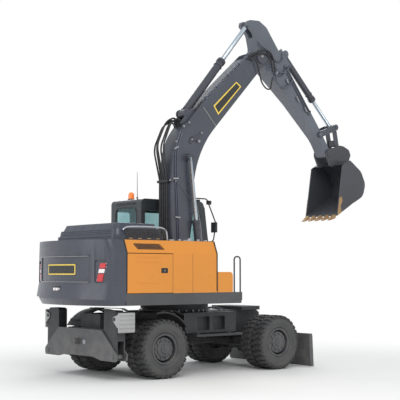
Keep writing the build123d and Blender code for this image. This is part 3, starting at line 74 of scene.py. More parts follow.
def pivot(name):
    return Vector(joints[name]["pos_m"])


# Pins and axles of the machine, in metres
boomPin = pivot("arm_swing")
slewAxis = pivot("slew")
rearAxle = pivot("wheel_rear_left")
frontAxle = pivot("wheel_front_left")
boomY = boomPin.y


# Small tools for node trees
def addNode(tree, kind, inputs, **settings):
    node = tree.nodes.new("ShaderNode" + kind)
    for name, value in settings.items():
        setattr(node, name, value)
    for socket, value in inputs.items():
        if isinstance(value, bpy.types.NodeSocket):
            tree.links.new(value, node.inputs[socket])
        else:
            node.inputs[socket].default_value = value
    return node


def emptyTree(owner):
    owner.use_nodes = True
    owner.node_tree.nodes.clear()
    return owner.node_tree


def newMaterial(name):
    material = bpy.data.materials.new(name)
    tree = emptyTree(material)
    return material, tree, addNode(tree, "TexCoord", {}).outputs["Object"]


def surfaceMaterial(material, tree, inputs):
    shader = addNode(tree, "BsdfPrincipled", inputs)
    addNode(tree, "OutputMaterial", {"Surface": shader.outputs[0]})
    return material


def mapRange(tree, value, fromMin=0.0, fromMax=1.0, toMin=0.0, toMax=1.0, **settings):
    limits = {"Value": value, "From Min": fromMin, "From Max": fromMax, "To Min": toMin, "To Max": toMax}
    return addNode(tree, "MapRange", limits, **settings).outputs["Result"]


def noiseTexture(tree, coords, scale, detail):
    return addNode(tree, "TexNoise", {"Vector": coords, "Scale": scale, "Detail": detail}).outputs["Fac"]


def noiseMask(tree, coords, scale, low, high, detail=4.0):
    return mapRange(tree, noiseTexture(tree, coords, scale, detail), low, high)


def mathNode(tree, operation, first, second):
    return addNode(tree, "Math", {0: first, 1: second}, operation=operation, use_clamp=True).outputs[0]


def layered(tree, mask, under, over):
    under, over = ((*tone, 1.0) if isinstance(tone, tuple) else tone for tone in (under, over))
    return addNode(tree, "Mix", {"Factor": mask, "A": under, "B": over}, data_type="RGBA").outputs["Result"]


def roundedEdges(tree, radius):
    rounded = addNode(tree, "Bevel", {"Radius": radius}, samples=4).outputs[0]
    plain = addNode(tree, "NewGeometry", {}).outputs["Normal"]
    dot = addNode(tree, "VectorMath", {0: rounded, 1: plain}, operation="DOT_PRODUCT")
    return mapRange(tree, dot.outputs["Value"], 0.995, 0.88), rounded


# Finishes, each a colour with variation, dust, worn edges and a fine bump. What a finish doesn't
# state comes from plainLook; an edge of 0 has no rounding and no wear.
plainLook = dict(
    variation=1.22, patchScale=1.4, speckScale=38.0, specks=0.12, dust=0.0, dustTop=1.2, dustLow=0.1,
    dustColour=(0.32, 0.29, 0.25), edge=0.0, wear=0.3, wearColour=(0.42, 0.42, 0.43), roughness=0.4,
    bump=0.06, bumpDepth=0.002, grain=120.0, metallic=0.0, coat=0.0, glow=0.0,
)


def makeFinish(name, changes):
    look = {**plainLook, **changes}
    material, tree, coords = newMaterial(name)
    colour, dustColour = look["colour"], look["dustColour"]
    tone = tuple(min(1.0, part * look["variation"]) for part in colour)
    base = layered(tree, noiseMask(tree, coords, look["patchScale"], 0.35, 0.68), colour, tone)
    specks = noiseMask(tree, coords, look["speckScale"], 0.58, 0.74, 8.0)
    base = layered(tree, mathNode(tree, "MULTIPLY", specks, look["specks"]), base, dustColour)
    if look["dust"] > 0.0:  # dust gathers on what lies low
        height = addNode(tree, "SeparateXYZ", {0: coords}).outputs["Z"]
        lowness = mapRange(tree, height, look["dustTop"], look["dustLow"])
        blots = noiseMask(tree, coords, 5.0, 0.38, 0.66, 7.0)
        dusty = mathNode(tree, "MULTIPLY", mathNode(tree, "MULTIPLY", lowness, blots), look["dust"])
        base = layered(tree, dusty, base, dustColour)
    grain = noiseTexture(tree, coords, look["grain"], 3.0)
    bump = {"Strength": look["bump"], "Distance": look["bumpDepth"], "Height": grain}
    if look["edge"] > 0.0:
        edges, bump["Normal"] = roundedEdges(tree, look["edge"])
        chips = noiseMask(tree, coords, 55.0, 0.42, 0.62, 6.0)
        worn = mathNode(tree, "MULTIPLY", mathNode(tree, "MULTIPLY", edges, chips), look["wear"])
        base = layered(tree, worn, base, look["wearColour"])
    gloss = noiseMask(tree, coords, 9.0, 0.3, 0.7, 6.0)
    inputs = {
        "Base Color": base, "Normal": addNode(tree, "Bump", bump).outputs[0],
        "Roughness": mapRange(tree, gloss, toMin=look["roughness"] - 0.07, toMax=look["roughness"] + 0.12),
        "Metallic": look["metallic"], "Coat Weight": look["coat"], "Coat Roughness": 0.18,
    }
    if look["glow"] > 0.0:
        inputs.update({"Emission Color": (*colour, 1.0), "Emission Strength": look["glow"]})
    return surfaceMaterial(material, tree, inputs)


def makeGlass(name, look):
    material, tree, coords = newMaterial(name)
    smears = noiseMask(tree, coords, 2.6, 0.4, 0.8, 6.0)
    return surfaceMaterial(material, tree, {
        "Base Color": layered(tree, smears, look["colour"], look["streak"]),
        "Roughness": mapRange(tree, smears, toMin=0.02, toMax=0.09),
        "Transmission Weight": look["transmission"], "IOR": look["ior"],
    })


finishLooks = {
    "graphitePaint": dict(
        colour=(0.042, 0.047, 0.064), roughness=0.32, coat=0.35, edge=0.006, wear=0.22,
        wearColour=(0.22, 0.23, 0.25), specks=0.04),
    "equipmentPaint": dict(
        colour=(0.050, 0.056, 0.072), roughness=0.30, coat=0.35, edge=0.005, wear=0.22,
        wearColour=(0.20, 0.21, 0.23), specks=0.06),
    # the boom's graphite made lighter and bluer for the arm: painted light falling on the arm
    "armPaint": dict(
        colour=(0.090, 0.102, 0.125), variation=1.35, roughness=0.30, coat=0.4, edge=0.005, wear=0.25,
        wearColour=(0.25, 0.26, 0.28), specks=0.06),
    "cabPaint": dict(
        colour=(0.026, 0.031, 0.036), roughness=0.32, coat=0.35, edge=0.005, wear=0.2,
        wearColour=(0.2, 0.21, 0.22), specks=0.04),
    "carrierPaint": dict(
        colour=(0.085, 0.085, 0.088), roughness=0.5, edge=0.006, wear=0.35, dust=0.5, dustTop=1.0,
        dustColour=(0.24, 0.225, 0.205)),
    "bucketPaint": dict(
        colour=(0.050, 0.053, 0.062), roughness=0.42, edge=0.007, wear=0.7, specks=0.16,
        dustColour=(0.23, 0.20, 0.17)),
    "orangePaint": dict(
        colour=(0.70, 0.255, 0.022), variation=1.05, roughness=0.34, coat=0.35, edge=0.005, wear=0.12,
        specks=0.03, dustColour=(0.62, 0.42, 0.22)),
    "hoodPaint": dict(
        colour=(0.032, 0.038, 0.058), roughness=0.36, coat=0.3, edge=0.008, wear=0.25,
        wearColour=(0.22, 0.24, 0.28), specks=0.06),
    "deckPaint": dict(colour=(0.068, 0.069, 0.072), roughness=0.45, edge=0.005, specks=0.1),
    "chassisPaint": dict(
        colour=(0.034, 0.035, 0.038), roughness=0.55, edge=0.006, wear=0.35, specks=0.1, dust=0.25,
        dustTop=1.3, dustColour=(0.15, 0.138, 0.125)),
    "barrelPaint": dict(
        colour=(0.040, 0.043, 0.055), roughness=0.35, coat=0.3, edge=0.004, specks=0.05),
    "rimPaint": dict(
        colour=(0.075, 0.076, 0.081), roughness=0.5, edge=0.004, wear=0.4, dust=0.45,
        dustColour=(0.20, 0.185, 0.165)),
    # machine paint made bluer and lighter: a painted sheen of the sky
    "pipePaint": dict(colour=(0.060, 0.070, 0.100), roughness=0.24, coat=0.5, specks=0.04, bump=0.02),
    # light grey on thin edges: a painted highlight
    "panelEdge": dict(colour=(0.23, 0.235, 0.25), roughness=0.28, coat=0.4, bump=0.0),
    "tyreRubber": dict(
        colour=(0.036, 0.036, 0.038), variation=1.5, roughness=0.8, edge=0.003, wear=0.35,
        wearColour=(0.075, 0.073, 0.07), dust=0.35, dustTop=1.3, dustColour=(0.105, 0.098, 0.088),
        bump=0.25, grain=60.0),
    "sidewallRubber": dict(
        colour=(0.060, 0.060, 0.061), variation=1.35, roughness=0.62, specks=0.10, dust=0.35, dustTop=1.3,
        dustColour=(0.17, 0.16, 0.145), bump=0.12, grain=60.0),
    "hoseRubber": dict(colour=(0.022, 0.022, 0.024), roughness=0.55, specks=0.08, bump=0.15),
    "blackPlastic": dict(
        colour=(0.018, 0.018, 0.020), roughness=0.5, edge=0.003, wear=0.1, specks=0.06, bump=0.12,
        grain=260.0),
    "cabTrim": dict(colour=(0.05, 0.05, 0.055), roughness=0.6, edge=0.003, wear=0.1, bump=0.12),
    # near black glossy sheet: painted shade of a dark space behind glass
    "paneDark": dict(colour=(0.012, 0.018, 0.020), roughness=0.08, coat=0.6, bump=0.0),
    "padSteel": dict(
        colour=(0.36, 0.36, 0.36), roughness=0.6, edge=0.005, wear=0.5, specks=0.25, dust=0.3),
    "toothSteel": dict(
        colour=(0.46, 0.285, 0.135), variation=0.72, patchScale=14.0, roughness=0.5, metallic=0.35,
        edge=0.006, wear=0.8, wearColour=(0.62, 0.5, 0.38), specks=0.3),
    "chromeRod": dict(
        colour=(0.50, 0.565, 0.62), variation=1.08, roughness=0.24, metallic=0.85, specks=0.02, bump=0.01),
    "railSteel": dict(colour=(0.42, 0.44, 0.47), roughness=0.3, metallic=0.5, specks=0.08),
    "pipeSteel": dict(colour=(0.085, 0.092, 0.11), roughness=0.3, metallic=0.3, specks=0.08),
    "boltSteel": dict(colour=(0.36, 0.36, 0.37), roughness=0.35, metallic=0.7, specks=0.2),
    "wheelBolt": dict(colour=(0.13, 0.13, 0.135), roughness=0.4, metallic=0.3, specks=0.1),
    "tabBrass": dict(colour=(0.48, 0.36, 0.16), roughness=0.4, specks=0.05),
    "engineIron": dict(colour=(0.09, 0.09, 0.09), roughness=0.7, edge=0.004),
    "ventMesh": dict(colour=(0.055, 0.052, 0.050), roughness=0.6, specks=0.2),
    "weldSeam": dict(colour=(0.34, 0.34, 0.29), roughness=0.45, bump=0.3, grain=300.0),
    "weldBead": dict(colour=(0.13, 0.14, 0.16), roughness=0.4, metallic=0.2, bump=0.5, grain=300.0),
    "signYellow": dict(colour=(0.86, 0.62, 0.09), variation=1.05, roughness=0.45, specks=0.04),
    "signBlack": dict(colour=(0.028, 0.028, 0.028), roughness=0.5),
    "lampRed": dict(colour=(0.55, 0.025, 0.03), roughness=0.18, coat=0.6, bump=0.2, grain=240.0),
    "lampClear": dict(colour=(0.80, 0.74, 0.73), roughness=0.15, coat=0.6, bump=0.2, grain=240.0),
    "lampAmber": dict(colour=(0.88, 0.26, 0.03), roughness=0.2, coat=0.5, glow=0.12),
    "amberCap": dict(colour=(0.90, 0.20, 0.03), roughness=0.12, coat=0.7, glow=0.25),
}
glassLook = dict(colour=(0.26, 0.46, 0.48), streak=(0.38, 0.58, 0.60), transmission=0.84, ior=1.3)
finishes = {name: makeFinish(name, look) for name, look in finishLooks.items()}
finishes["tealGlass"] = makeGlass("tealGlass", glassLook)
print("finishes made:", len(finishes))

# Every node keeps a finish, also where a dressed copy stands for it; the rest has the chassis's paint
nodeFinishes = {
    "graphitePaint": ["counterweight"],
    "cabPaint": ["cab_shell", "cab_door"],
    "equipmentPaint": ["boom", "rocker", "bucket_link"],
    "armPaint": ["arm"],
    "carrierPaint": ["stabiliser_carrier", "blade"],
    "bucketPaint": ["bucket"],
    "orangePaint": ["housings", "side_door_left", "side_door_right"],
    "deckPaint": ["upper_frame"],
    "hoodPaint": ["hood"],
    "padSteel": ["stabiliser_pad_left", "stabiliser_pad_right"],
    "chromeRod": [name for name in nodes if name.endswith("_rod") and name != "tie_rod"],
    "barrelPaint": [name for name in nodes if name.endswith("_barrel")],
    "toothSteel": ["bucket_teeth"],
    "hoseRubber": ["boom_lines"],
    "pipeSteel": ["arm_lines"],
    "blackPlastic": ["rails", "mirror_stay"],
    "cabTrim": ["cab_interior"],
    "engineIron": ["engine"],
    "tealGlass": ["cab_glass", "door_glass"],
    "lampAmber": ["beacon"],
    "lampRed": ["lamps"],
    "tyreRubber": [name for name in nodes if name.startswith("tyres")],
    "rimPaint": [name for name in nodes if name.startswith("rims")],
}
finishOf = {name: "chassisPaint" for name in nodes}
finishOf.update({name: finish for finish, names in nodeFinishes.items() for name in names})
for name, node in nodes.items():
    node.data.materials.clear()
    node.data.materials.append(finishes[finishOf[name]])


# Small tools for the pieces
def addObject(name, data):
    made = bpy.data.objects.new(name, data)
    bpy.context.scene.collection.objects.link(made)
    return made


def softenEdges(piece, width, degrees=35.0):
    soft = piece.modifiers.new("softEdges", "BEVEL")
    soft.width = width
    soft.segments = 2
    soft.limit_method = "ANGLE"
    soft.angle_limit = radians(degrees)
    soft.harden_normals = True


def shadedPiece(name, mesh, finish, smooth):
    data = bpy.data.meshes.new(name)
    mesh.to_mesh(data)
    mesh.free()
    data.materials.append(finishes[finish])
    data.shade_smooth()
    data.set_sharp_from_angle(angle=radians(smooth))
    return addObject(name, data)


def finishPiece(name, mesh, finish, body, bevel=0.0, smooth=32.0):
    bmesh.ops.recalc_face_normals(mesh, faces=mesh.faces)
    piece = shadedPiece(name, mesh, finish, smooth)
    if bevel > 0.0:
        softenEdges(piece, bevel)
    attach(piece, body)
    return piece


def block(mesh, middle, size, turn=0.0, axis="Y"):
    made = bmesh.ops.create_cube(mesh, size=1.0)["verts"]
    bmesh.ops.scale(mesh, vec=size, verts=made)
    bmesh.ops.rotate(mesh, verts=made, cent=(0, 0, 0), matrix=Matrix.Rotation(turn, 3, axis))
    bmesh.ops.translate(mesh, vec=middle, verts=made)


def blocks(name, finish, body, items, bevel=0.004):  # items: middle, size, turn in degrees if any
    mesh = bmesh.new()
    for middle, size, *turn in items:
        block(mesh, middle, size, *(radians(degrees) for degrees in turn))
    return finishPiece(name, mesh, finish, body, bevel)


def rod(mesh, start, end, radius, sides=16, endRadius=None):
    start, end = Vector(start), Vector(end)
    run = end - start
    made = bmesh.ops.create_cone(
        mesh, cap_ends=True, segments=sides, radius1=radius,
        radius2=radius if endRadius is None else endRadius, depth=run.length,
    )["verts"]
    turn = run.to_track_quat("Z", "Y").to_matrix()
    bmesh.ops.rotate(mesh, verts=made, cent=(0, 0, 0), matrix=turn)
    bmesh.ops.translate(mesh, vec=(start + end) / 2, verts=made)


def boltHead(mesh, place, direction, radius, height):
    direction = Vector(direction).normalized()
    washer = Vector(place) + direction * height * 0.3
    rod(mesh, place, washer, radius * 1.25, 12)
    rod(mesh, washer, Vector(place) + direction * height, radius, 6)


def raiseFaces(mesh, faces, shift):
    raised = bmesh.ops.extrude_face_region(mesh, geom=faces)["geom"]
    verts = [part for part in raised if isinstance(part, bmesh.types.BMVert)]
    bmesh.ops.translate(mesh, vec=shift, verts=verts)


def inPlane(y, places):
    return [(x, y, z) for x, z in places]


def tube(name, points, radius, finish, body=None):
    curve = bpy.data.curves.new(name, "CURVE")
    curve.dimensions = "3D"
    curve.bevel_depth = radius
    curve.bevel_resolution = 4
    curve.resolution_u = 10
    curve.use_fill_caps = True
    spline = curve.splines.new("NURBS")
    spline.points.add(len(points) - 1)
    for point, place in zip(spline.points, points):
        point.co = (*place, 1.0)
    spline.order_u = 3
    spline.use_endpoint_u = True
    holder = addObject(name + "Route", curve)
    data = bpy.data.meshes.new_from_object(holder.evaluated_get(bpy.context.evaluated_depsgraph_get()))
    bpy.data.objects.remove(holder)
    data.name = name
    data.materials.clear()
    data.materials.append(finishes[finish])
    data.shade_smooth()
    piece = addObject(name, data)
    if body:
        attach(piece, body)
    return piece


# Dressed copies: the same solids with softened edges, so that light runs along them
dressedNodes = {
    "counterweight": 0.016, "housings": 0.007, "side_door_left": 0.007, "side_door_right": 0.007,
    "hood": 0.012, "cab_shell": 0.008, "cab_door": 0.006, "boom": 0.007, "arm": 0.007, "rocker": 0.005,
    "bucket_link": 0.005, "bucket": 0.006, "upper_frame": 0.006, "chassis_frame": 0.007,
    "side_boxes": 0.006, "stabiliser_carrier": 0.006, "stabiliser_leg_left": 0.006,
    "stabiliser_leg_right": 0.006, "stabiliser_pad_left": 0.004, "stabiliser_pad_right": 0.004,
    "blade": 0.006, "bucket_teeth": 0.006, "front_axle": 0.006, "rear_axle": 0.006,
}


def copyMesh(name, flatDegrees):
    mesh = bmesh.new()
    mesh.from_mesh(nodes[name].data)
    bmesh.ops.remove_doubles(mesh, verts=mesh.verts, dist=0.0002)
    bmesh.ops.dissolve_limit(mesh, angle_limit=radians(flatDegrees), verts=mesh.verts, edges=mesh.edges)
    return mesh


def dressNode(name, width):
    piece = shadedPiece(name + "Dressed", copyMesh(name, 0.6), finishOf[name], 30.0)
    softenEdges(piece, width, 30.0)
    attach(piece, nodes[name]["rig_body"])
    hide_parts(name)


for name, width in dressedNodes.items():
    dressNode(name, width)
print("nodes dressed:", len(dressedNodes))


# Copies with two finishes: painted rod eyes on chrome rods, painted pipes among the hoses, their paint tinted
# bluish as a painted sheen
def twoFinishCopy(name, second, belongs):
    mesh = copyMesh(name, 0.5)
    for face in mesh.faces:
        face.material_index = 1 if belongs(face.calc_center_median()) else 0
    piece = finishPiece(name + "Dressed", mesh, finishOf[name], nodes[name]["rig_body"], smooth=30.0)
    piece.data.materials.append(finishes[second])
    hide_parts(name)


def slideAxis(name):
    body = nodes[name]["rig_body"]
    slide = next(joint for joint in joints.values() if joint["type"] == "slide" and joint["child"] == body)
    return Vector(slide["axis"]).normalized()


def spansAlong(name, along):
    return [vert.co.dot(along) for vert in nodes[name].data.vertices]


rodEyes = {"working": 0.17, "carrier": 0.10}
pipeZone = {"rear": -0.66, "low": 4.9}
for name in nodeFinishes["chromeRod"]:
    along = slideAxis(name)
    spans = spansAlong(name, along)
    barrel = spansAlong(name.replace("_rod", "_barrel"), along)
    far = max(min(spans), max(spans), key=lambda value: abs(value - sum(barrel) / len(barrel)))
    reach = rodEyes["carrier" if "stabiliser" in name or "blade" in name else "working"]
    twoFinishCopy(name, "barrelPaint", lambda place: abs(place.dot(along) - far) < reach)
rear, low = pipeZone["rear"], pipeZone["low"]
twoFinishCopy("boom_lines", "pipePaint", lambda place: place.x > rear and place.z > low)
print("rods and lines dressed")

# Tyres with tread blocks on a ribbed carcass; sections have columns across and radius
tyre = dict(
    half=0.139, seat=0.2545, pitches=30, steps=96, outerMiddle=1.111, innerMiddle=0.793, skew=0.16,
    shoulderShare=0.60, middleShare=0.66, middleShift=0.3, rings=(0.352, 0.405), wallInside=0.100,
    wallTop=0.478,
)
carcass = [
    (-0.086, tyre["seat"]), (0.086, tyre["seat"]), (0.088, 0.276), (0.118, 0.300), (0.133, 0.338),
    (0.138, 0.385), (0.136, 0.430), (0.130, 0.462), (0.121, 0.492), (0.095, 0.505), (-0.095, 0.505),
    (-0.121, 0.492), (-0.130, 0.462), (-0.136, 0.430), (-0.138, 0.385), (-0.133, 0.338),
    (-0.118, 0.300), (-0.088, 0.276),
]
shoulderBlock = [
    (0.034, 0.500), (0.034, 0.5262), (0.112, 0.5250), (0.134, 0.5060), (0.1385, 0.455), (0.1290, 0.450),
    (0.118, 0.490), (0.095, 0.500),
]
middleBlock = [(-0.027, 0.500), (-0.027, 0.5272), (0.027, 0.5272), (0.027, 0.500)]


def spinSection(mesh, section, axle, side, middleY, steps, sweep=2 * pi, start=0.0):
    verts = [mesh.verts.new((axle.x, middleY + side * across, axle.z + radius)) for across, radius in section]
    edges = [mesh.edges.new((verts[n], verts[(n + 1) % len(verts)])) for n in range(len(verts))]
    bmesh.ops.rotate(mesh, verts=verts, cent=axle, matrix=Matrix.Rotation(start, 3, "Y"))
    full = sweep >= 2 * pi
    face = [] if full else [bmesh.ops.contextual_create(mesh, geom=edges)["faces"][0]]
    bmesh.ops.spin(
        mesh, geom=verts + edges + face, cent=axle, axis=(0, 1, 0), angle=sweep, steps=steps, use_merge=full
    )


def slantedBlock(mesh, axle, side, middleY, pitch, start):
    before = set(mesh.verts)
    spinSection(mesh, shoulderBlock, axle, side, middleY, 2, pitch * tyre["shoulderShare"], start)
    for vert in [vert for vert in mesh.verts if vert not in before]:
        lean = tyre["skew"] * abs(vert.co.y - middleY) / tyre["half"] * pitch
        vert.co = Matrix.Rotation(lean * side, 3, "Y") @ (vert.co - axle) + axle


def makeTyres(nodeName):
    axleSign = 1 if "left" in nodeName else -1
    axle = rearAxle if "rear" in nodeName else frontAxle
    axle = Vector((axle.x, 0.0, axle.z))
    mesh = bmesh.new()
    pitch = 2 * pi / tyre["pitches"]
    for middle in (tyre["outerMiddle"], tyre["innerMiddle"]):
        middleY = axleSign * middle
        spinSection(mesh, carcass, axle, 1, middleY, tyre["steps"])
        for ring in tyre["rings"]:  # raised rings on the sidewalls
            section = [
                (0.132, ring - 0.005), (0.1387, ring - 0.003), (0.1387, ring + 0.003), (0.132, ring + 0.005),
            ]
            for side in (1, -1):
                spinSection(mesh, section, axle, side, middleY, tyre["steps"])
        for number in range(tyre["pitches"]):
            for side in (1, -1):
                start = number * pitch + (pitch / 2 if side < 0 else 0.0)
                slantedBlock(mesh, axle, side, middleY, pitch, start)
            spinSection(
                mesh, middleBlock, axle, 1, middleY, 2, pitch * tyre["middleShare"],
                (number + tyre["middleShift"]) * pitch,
            )
    for face in mesh.faces:
        place = face.calc_center_median() - axle
        across = min(abs(abs(place.y) - tyre["outerMiddle"]), abs(abs(place.y) - tyre["innerMiddle"]))
        if across > tyre["wallInside"] and (place.x ** 2 + place.z ** 2) ** 0.5 < tyre["wallTop"]:
            face.material_index = 1
    piece = finishPiece(nodeName + "Treaded", mesh, "tyreRubber", nodes[nodeName]["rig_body"], smooth=28)
    piece.data.materials.append(finishes["sidewallRubber"])
    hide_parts(nodeName)


for name in nodeFinishes["tyreRubber"]:
    makeTyres(name)
print("tyres made")

# Outer wheels: nuts, hub bolts, a stepped hub cover and dark discs in the disc's hand holes, painted shade
# seen through them
wheelFace = dict(
    nutCount=10, nutRing=0.172, nutSize=0.017, faceY=1.173, hubBolts=12, hubRing=0.118, boltSize=0.009,
    coverY=1.191, steps=[(0.088, 0.034), (0.135, 0.012), (0.030, 0.046)],  # radius and height
    holes=8, holeRing=0.224, holeY=1.047, holeRadius=0.017,
)


def makeWheelFace(nodeName):
    sign = 1 if "left" in nodeName else -1
    axle = rearAxle if "rear" in nodeName else frontAxle
    body = nodes[nodeName]["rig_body"]
    tag = nodeName.removeprefix("rims_")
    look = wheelFace

    def onFace(number, count, ring, y):
        angle = 2 * pi * number / count
        return Vector((axle.x + ring * cos(angle), sign * y, axle.z + ring * sin(angle)))

    mesh = bmesh.new()
    for count, ring, faceY, size in (
        (look["nutCount"], look["nutRing"], look["faceY"], look["nutSize"]),
        (look["hubBolts"], look["hubRing"], look["coverY"], look["boltSize"]),
    ):
        for number in range(count):
            boltHead(mesh, onFace(number, count, ring, faceY - 0.002), (0, sign, 0), size, size * 1.5)
    finishPiece("wheelNuts_" + tag, mesh, "wheelBolt", body)
    mesh = bmesh.new()
    for outer, high in look["steps"]:
        start = (axle.x, sign * (look["coverY"] - 0.002), axle.z)
        rod(mesh, start, (axle.x, sign * (look["coverY"] + high), axle.z), outer, 32, outer * 0.86)
    finishPiece("hubCover_" + tag, mesh, "rimPaint", body, bevel=0.004)
    # black discs fill the hand holes: painted shade
    mesh = bmesh.new()
    for number in range(look["holes"]):
        place = onFace(number + 0.5, look["holes"], look["holeRing"], look["holeY"])
        rod(mesh, place, place + Vector((0, sign * 0.004, 0)), look["holeRadius"], 20)
    finishPiece("handHoles_" + tag, mesh, "blackPlastic", body)


for name in nodeFinishes["rimPaint"]:
    makeWheelFace(name)
print("wheel faces made")

# Blank plates framed in yellow, on the boom's sides and on the counterweight
boomPlate = dict(
    corners=[(1.882, 5.223), (2.496, 5.785), (2.627, 5.701), (2.008, 5.051)],  # forward of the rear axle, up
    face=0.185, inset=(0.034, 0.14), depth=0.0045, borderDepth=0.0030,
)
tailPlate = dict(middleY=-0.025, width=0.90, low=1.850, high=2.035, border=0.021, radius=2.615, sunk=0.012)


def makeBoomPlate(sign):
    face = boomY + sign * boomPlate["face"]
    corners = [Vector((x + rearAxle.x, face, z)) for x, z in boomPlate["corners"]]

    def place(along, across):
        low = corners[0].lerp(corners[1], along)
        return low.lerp(corners[3].lerp(corners[2], along), across)

    for name, finish, (a, b), depth in (
        ("boomPlate", "signBlack", boomPlate["inset"], boomPlate["depth"]),
        ("boomPlateBorder", "signYellow", (0.0, 0.0), boomPlate["borderDepth"]),
    ):
        mesh = bmesh.new()
        spots = ((a, b), (1 - a, b), (1 - a, 1 - b), (a, 1 - b))
        outline = mesh.faces.new([mesh.verts.new(place(*spot)) for spot in spots])
        raiseFaces(mesh, [outline], (0, sign * depth, 0))
        finishPiece(f"{name}_{sideNames[sign]}", mesh, finish, "boom")


def tailX(y, radius):
    return slewAxis.x - (radius * radius - y * y) ** 0.5


def bentPanel(mesh, lowY, highY, low, high, inner, outer, steps=16):
    rows = []
    for number in range(steps + 1):
        y = lowY + (highY - lowY) * number / steps
        rows.append([
            mesh.verts.new((tailX(y, radius), y, z))
            for radius, z in ((inner, low), (outer, low), (outer, high), (inner, high))
        ])
    for before, after in zip(rows, rows[1:]):
        for n in range(4):
            mesh.faces.new((before[n], before[(n + 1) % 4], after[(n + 1) % 4], after[n]))
    mesh.faces.new(rows[0])
    mesh.faces.new(rows[-1])


def makeTailPlate():
    border, low, high = tailPlate["border"], tailPlate["low"], tailPlate["high"]
    lowY, highY = (tailPlate["middleY"] + side * tailPlate["width"] / 2 for side in (-1, 1))
    inner, outer = tailPlate["radius"] - tailPlate["sunk"], tailPlate["radius"]
    mesh = bmesh.new()
    for y0, y1, z0, z1 in (
        (lowY, highY, low, low + border),
        (lowY, highY, high - border, high),
        (lowY, lowY + border, low, high),
        (highY - border, highY, low, high),
    ):
        bentPanel(mesh, y0, y1, z0, z1, inner, outer + 0.0015)
    finishPiece("tailPlateBorder", mesh, "signYellow", "upper")
    mesh = bmesh.new()
    bentPanel(mesh, lowY + border, highY - border, low + border, high - border, inner, outer + 0.0005)
    finishPiece("tailPlate", mesh, "signBlack", "upper")


for sign in (1, -1):
    makeBoomPlate(sign)
makeTailPlate()
print("plates made")

# Lenses: a leaning stack, clear between two red ones, with small studs beside it
lens = dict(
    lowY=0.995, highY=1.062, width=0.105, radius=2.614, depths=(0.020, 0.003),
    rows=[(1.732, 1.868, "lampRed"), (1.880, 1.950, "lampClear"), (1.962, 2.050, "lampRed")],
    studs=[(1.118, 1.985), (1.118, 2.045), (0.942, 1.760)], studRadius=0.011,
)


def leaningLens(mesh, side, low, high):
    foot, top = lens["rows"][0][0], lens["rows"][-1][1]
    rows = []
    for z in (low, high):
        middle = lens["lowY"] + (lens["highY"] - lens["lowY"]) * (z - foot) / (top - foot)
        for y in (middle - lens["width"] / 2, middle + lens["width"] / 2):
            rows.append((side * y, z))
    sheets = []
    for depth in lens["depths"]:
        outline = (rows[0], rows[1], rows[3], rows[2])
        sheets.append([mesh.verts.new((tailX(y, lens["radius"] - depth), y, z)) for y, z in outline])
    back, front = sheets
    mesh.faces.new(back)
    mesh.faces.new(front)
    for n in range(4):
        mesh.faces.new((back[n], back[(n + 1) % 4], front[(n + 1) % 4], front[n]))


for side in (1, -1):
    for number, (low, high, finish) in enumerate(lens["rows"]):
        mesh = bmesh.new()
        leaningLens(mesh, side, low, high)
        piece = finishPiece(f"lens{number}_{sideNames[side]}", mesh, finish, "upper", bevel=0.004)
        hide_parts("lamps")
    mesh = bmesh.new()
    for y, z in lens["studs"]:
        place = Vector((tailX(y, lens["radius"] - 0.018), side * y, z))
        rod(mesh, place, place + Vector((-0.012, side * 0.006, 0)), lens["studRadius"], 16)
    finishPiece("lampStuds_" + sideNames[side], mesh, "boltSteel", "upper", bevel=0.002)

# Number lamp under its shade and a dark socket, low on the tail
tailLamp = dict(y=0.015, z=1.599, apart=0.045, radius=0.030, socketY=0.21, socketZ=1.475)
mesh = bmesh.new()
for y in (tailLamp["y"] - tailLamp["apart"], tailLamp["y"] + tailLamp["apart"]):
    place = Vector((tailX(y, 2.66), y, tailLamp["z"]))
    front, back = place + Vector((0.05, 0, 0)), place + Vector((-0.024, 0, -0.006))
    rod(mesh, front, back, tailLamp["radius"], 20, 0.026)
finishPiece("tailLamp", mesh, "lampClear", "upper", bevel=0.004)
blocks("tailSocket", "blackPlastic", "upper", [
    ((tailX(tailLamp["y"], 2.625), tailLamp["y"], tailLamp["z"] + 0.034), (0.075, 0.17, 0.014)),
    ((tailX(tailLamp["socketY"], 2.600), tailLamp["socketY"], tailLamp["socketZ"]), (0.09, 0.085, 0.135)),
], bevel=0.006)
print("lamps made")

# Side panels: pressed lines, seams, latches and vent slats. X counts forward from the rear axle;
# the vent lies on the panel's leaning top, its rows counted up along the slope.
panel = dict(
    face=1.245, lineWidth=0.011, lineDepth=0.0035, uprightX=-0.622, uprightZ=1.735, uprightHeight=0.075,
    latchX=(-0.107, 0.039), latchZ=(1.879, 1.968), keyRadius=0.014, seam=0.614, doorSeam=0.1545,
    seamZ=1.876, seamHeight=0.71,
)
pressedLines = [(-0.644, -0.141, 2.160), (-0.644, -0.141, 2.071), (-0.600, -0.121, 1.703)]  # start, end, z
vent = dict(
    creaseZ=2.232, inward=0.075, rise=0.231, rows=9, first=0.072, pitch=0.0125, low=0.066, height=0.110,
    start=-0.613, end=-0.005, startLean=0.086, endLean=0.103, inset=0.012, sunk=0.009, turn=20.0,
)


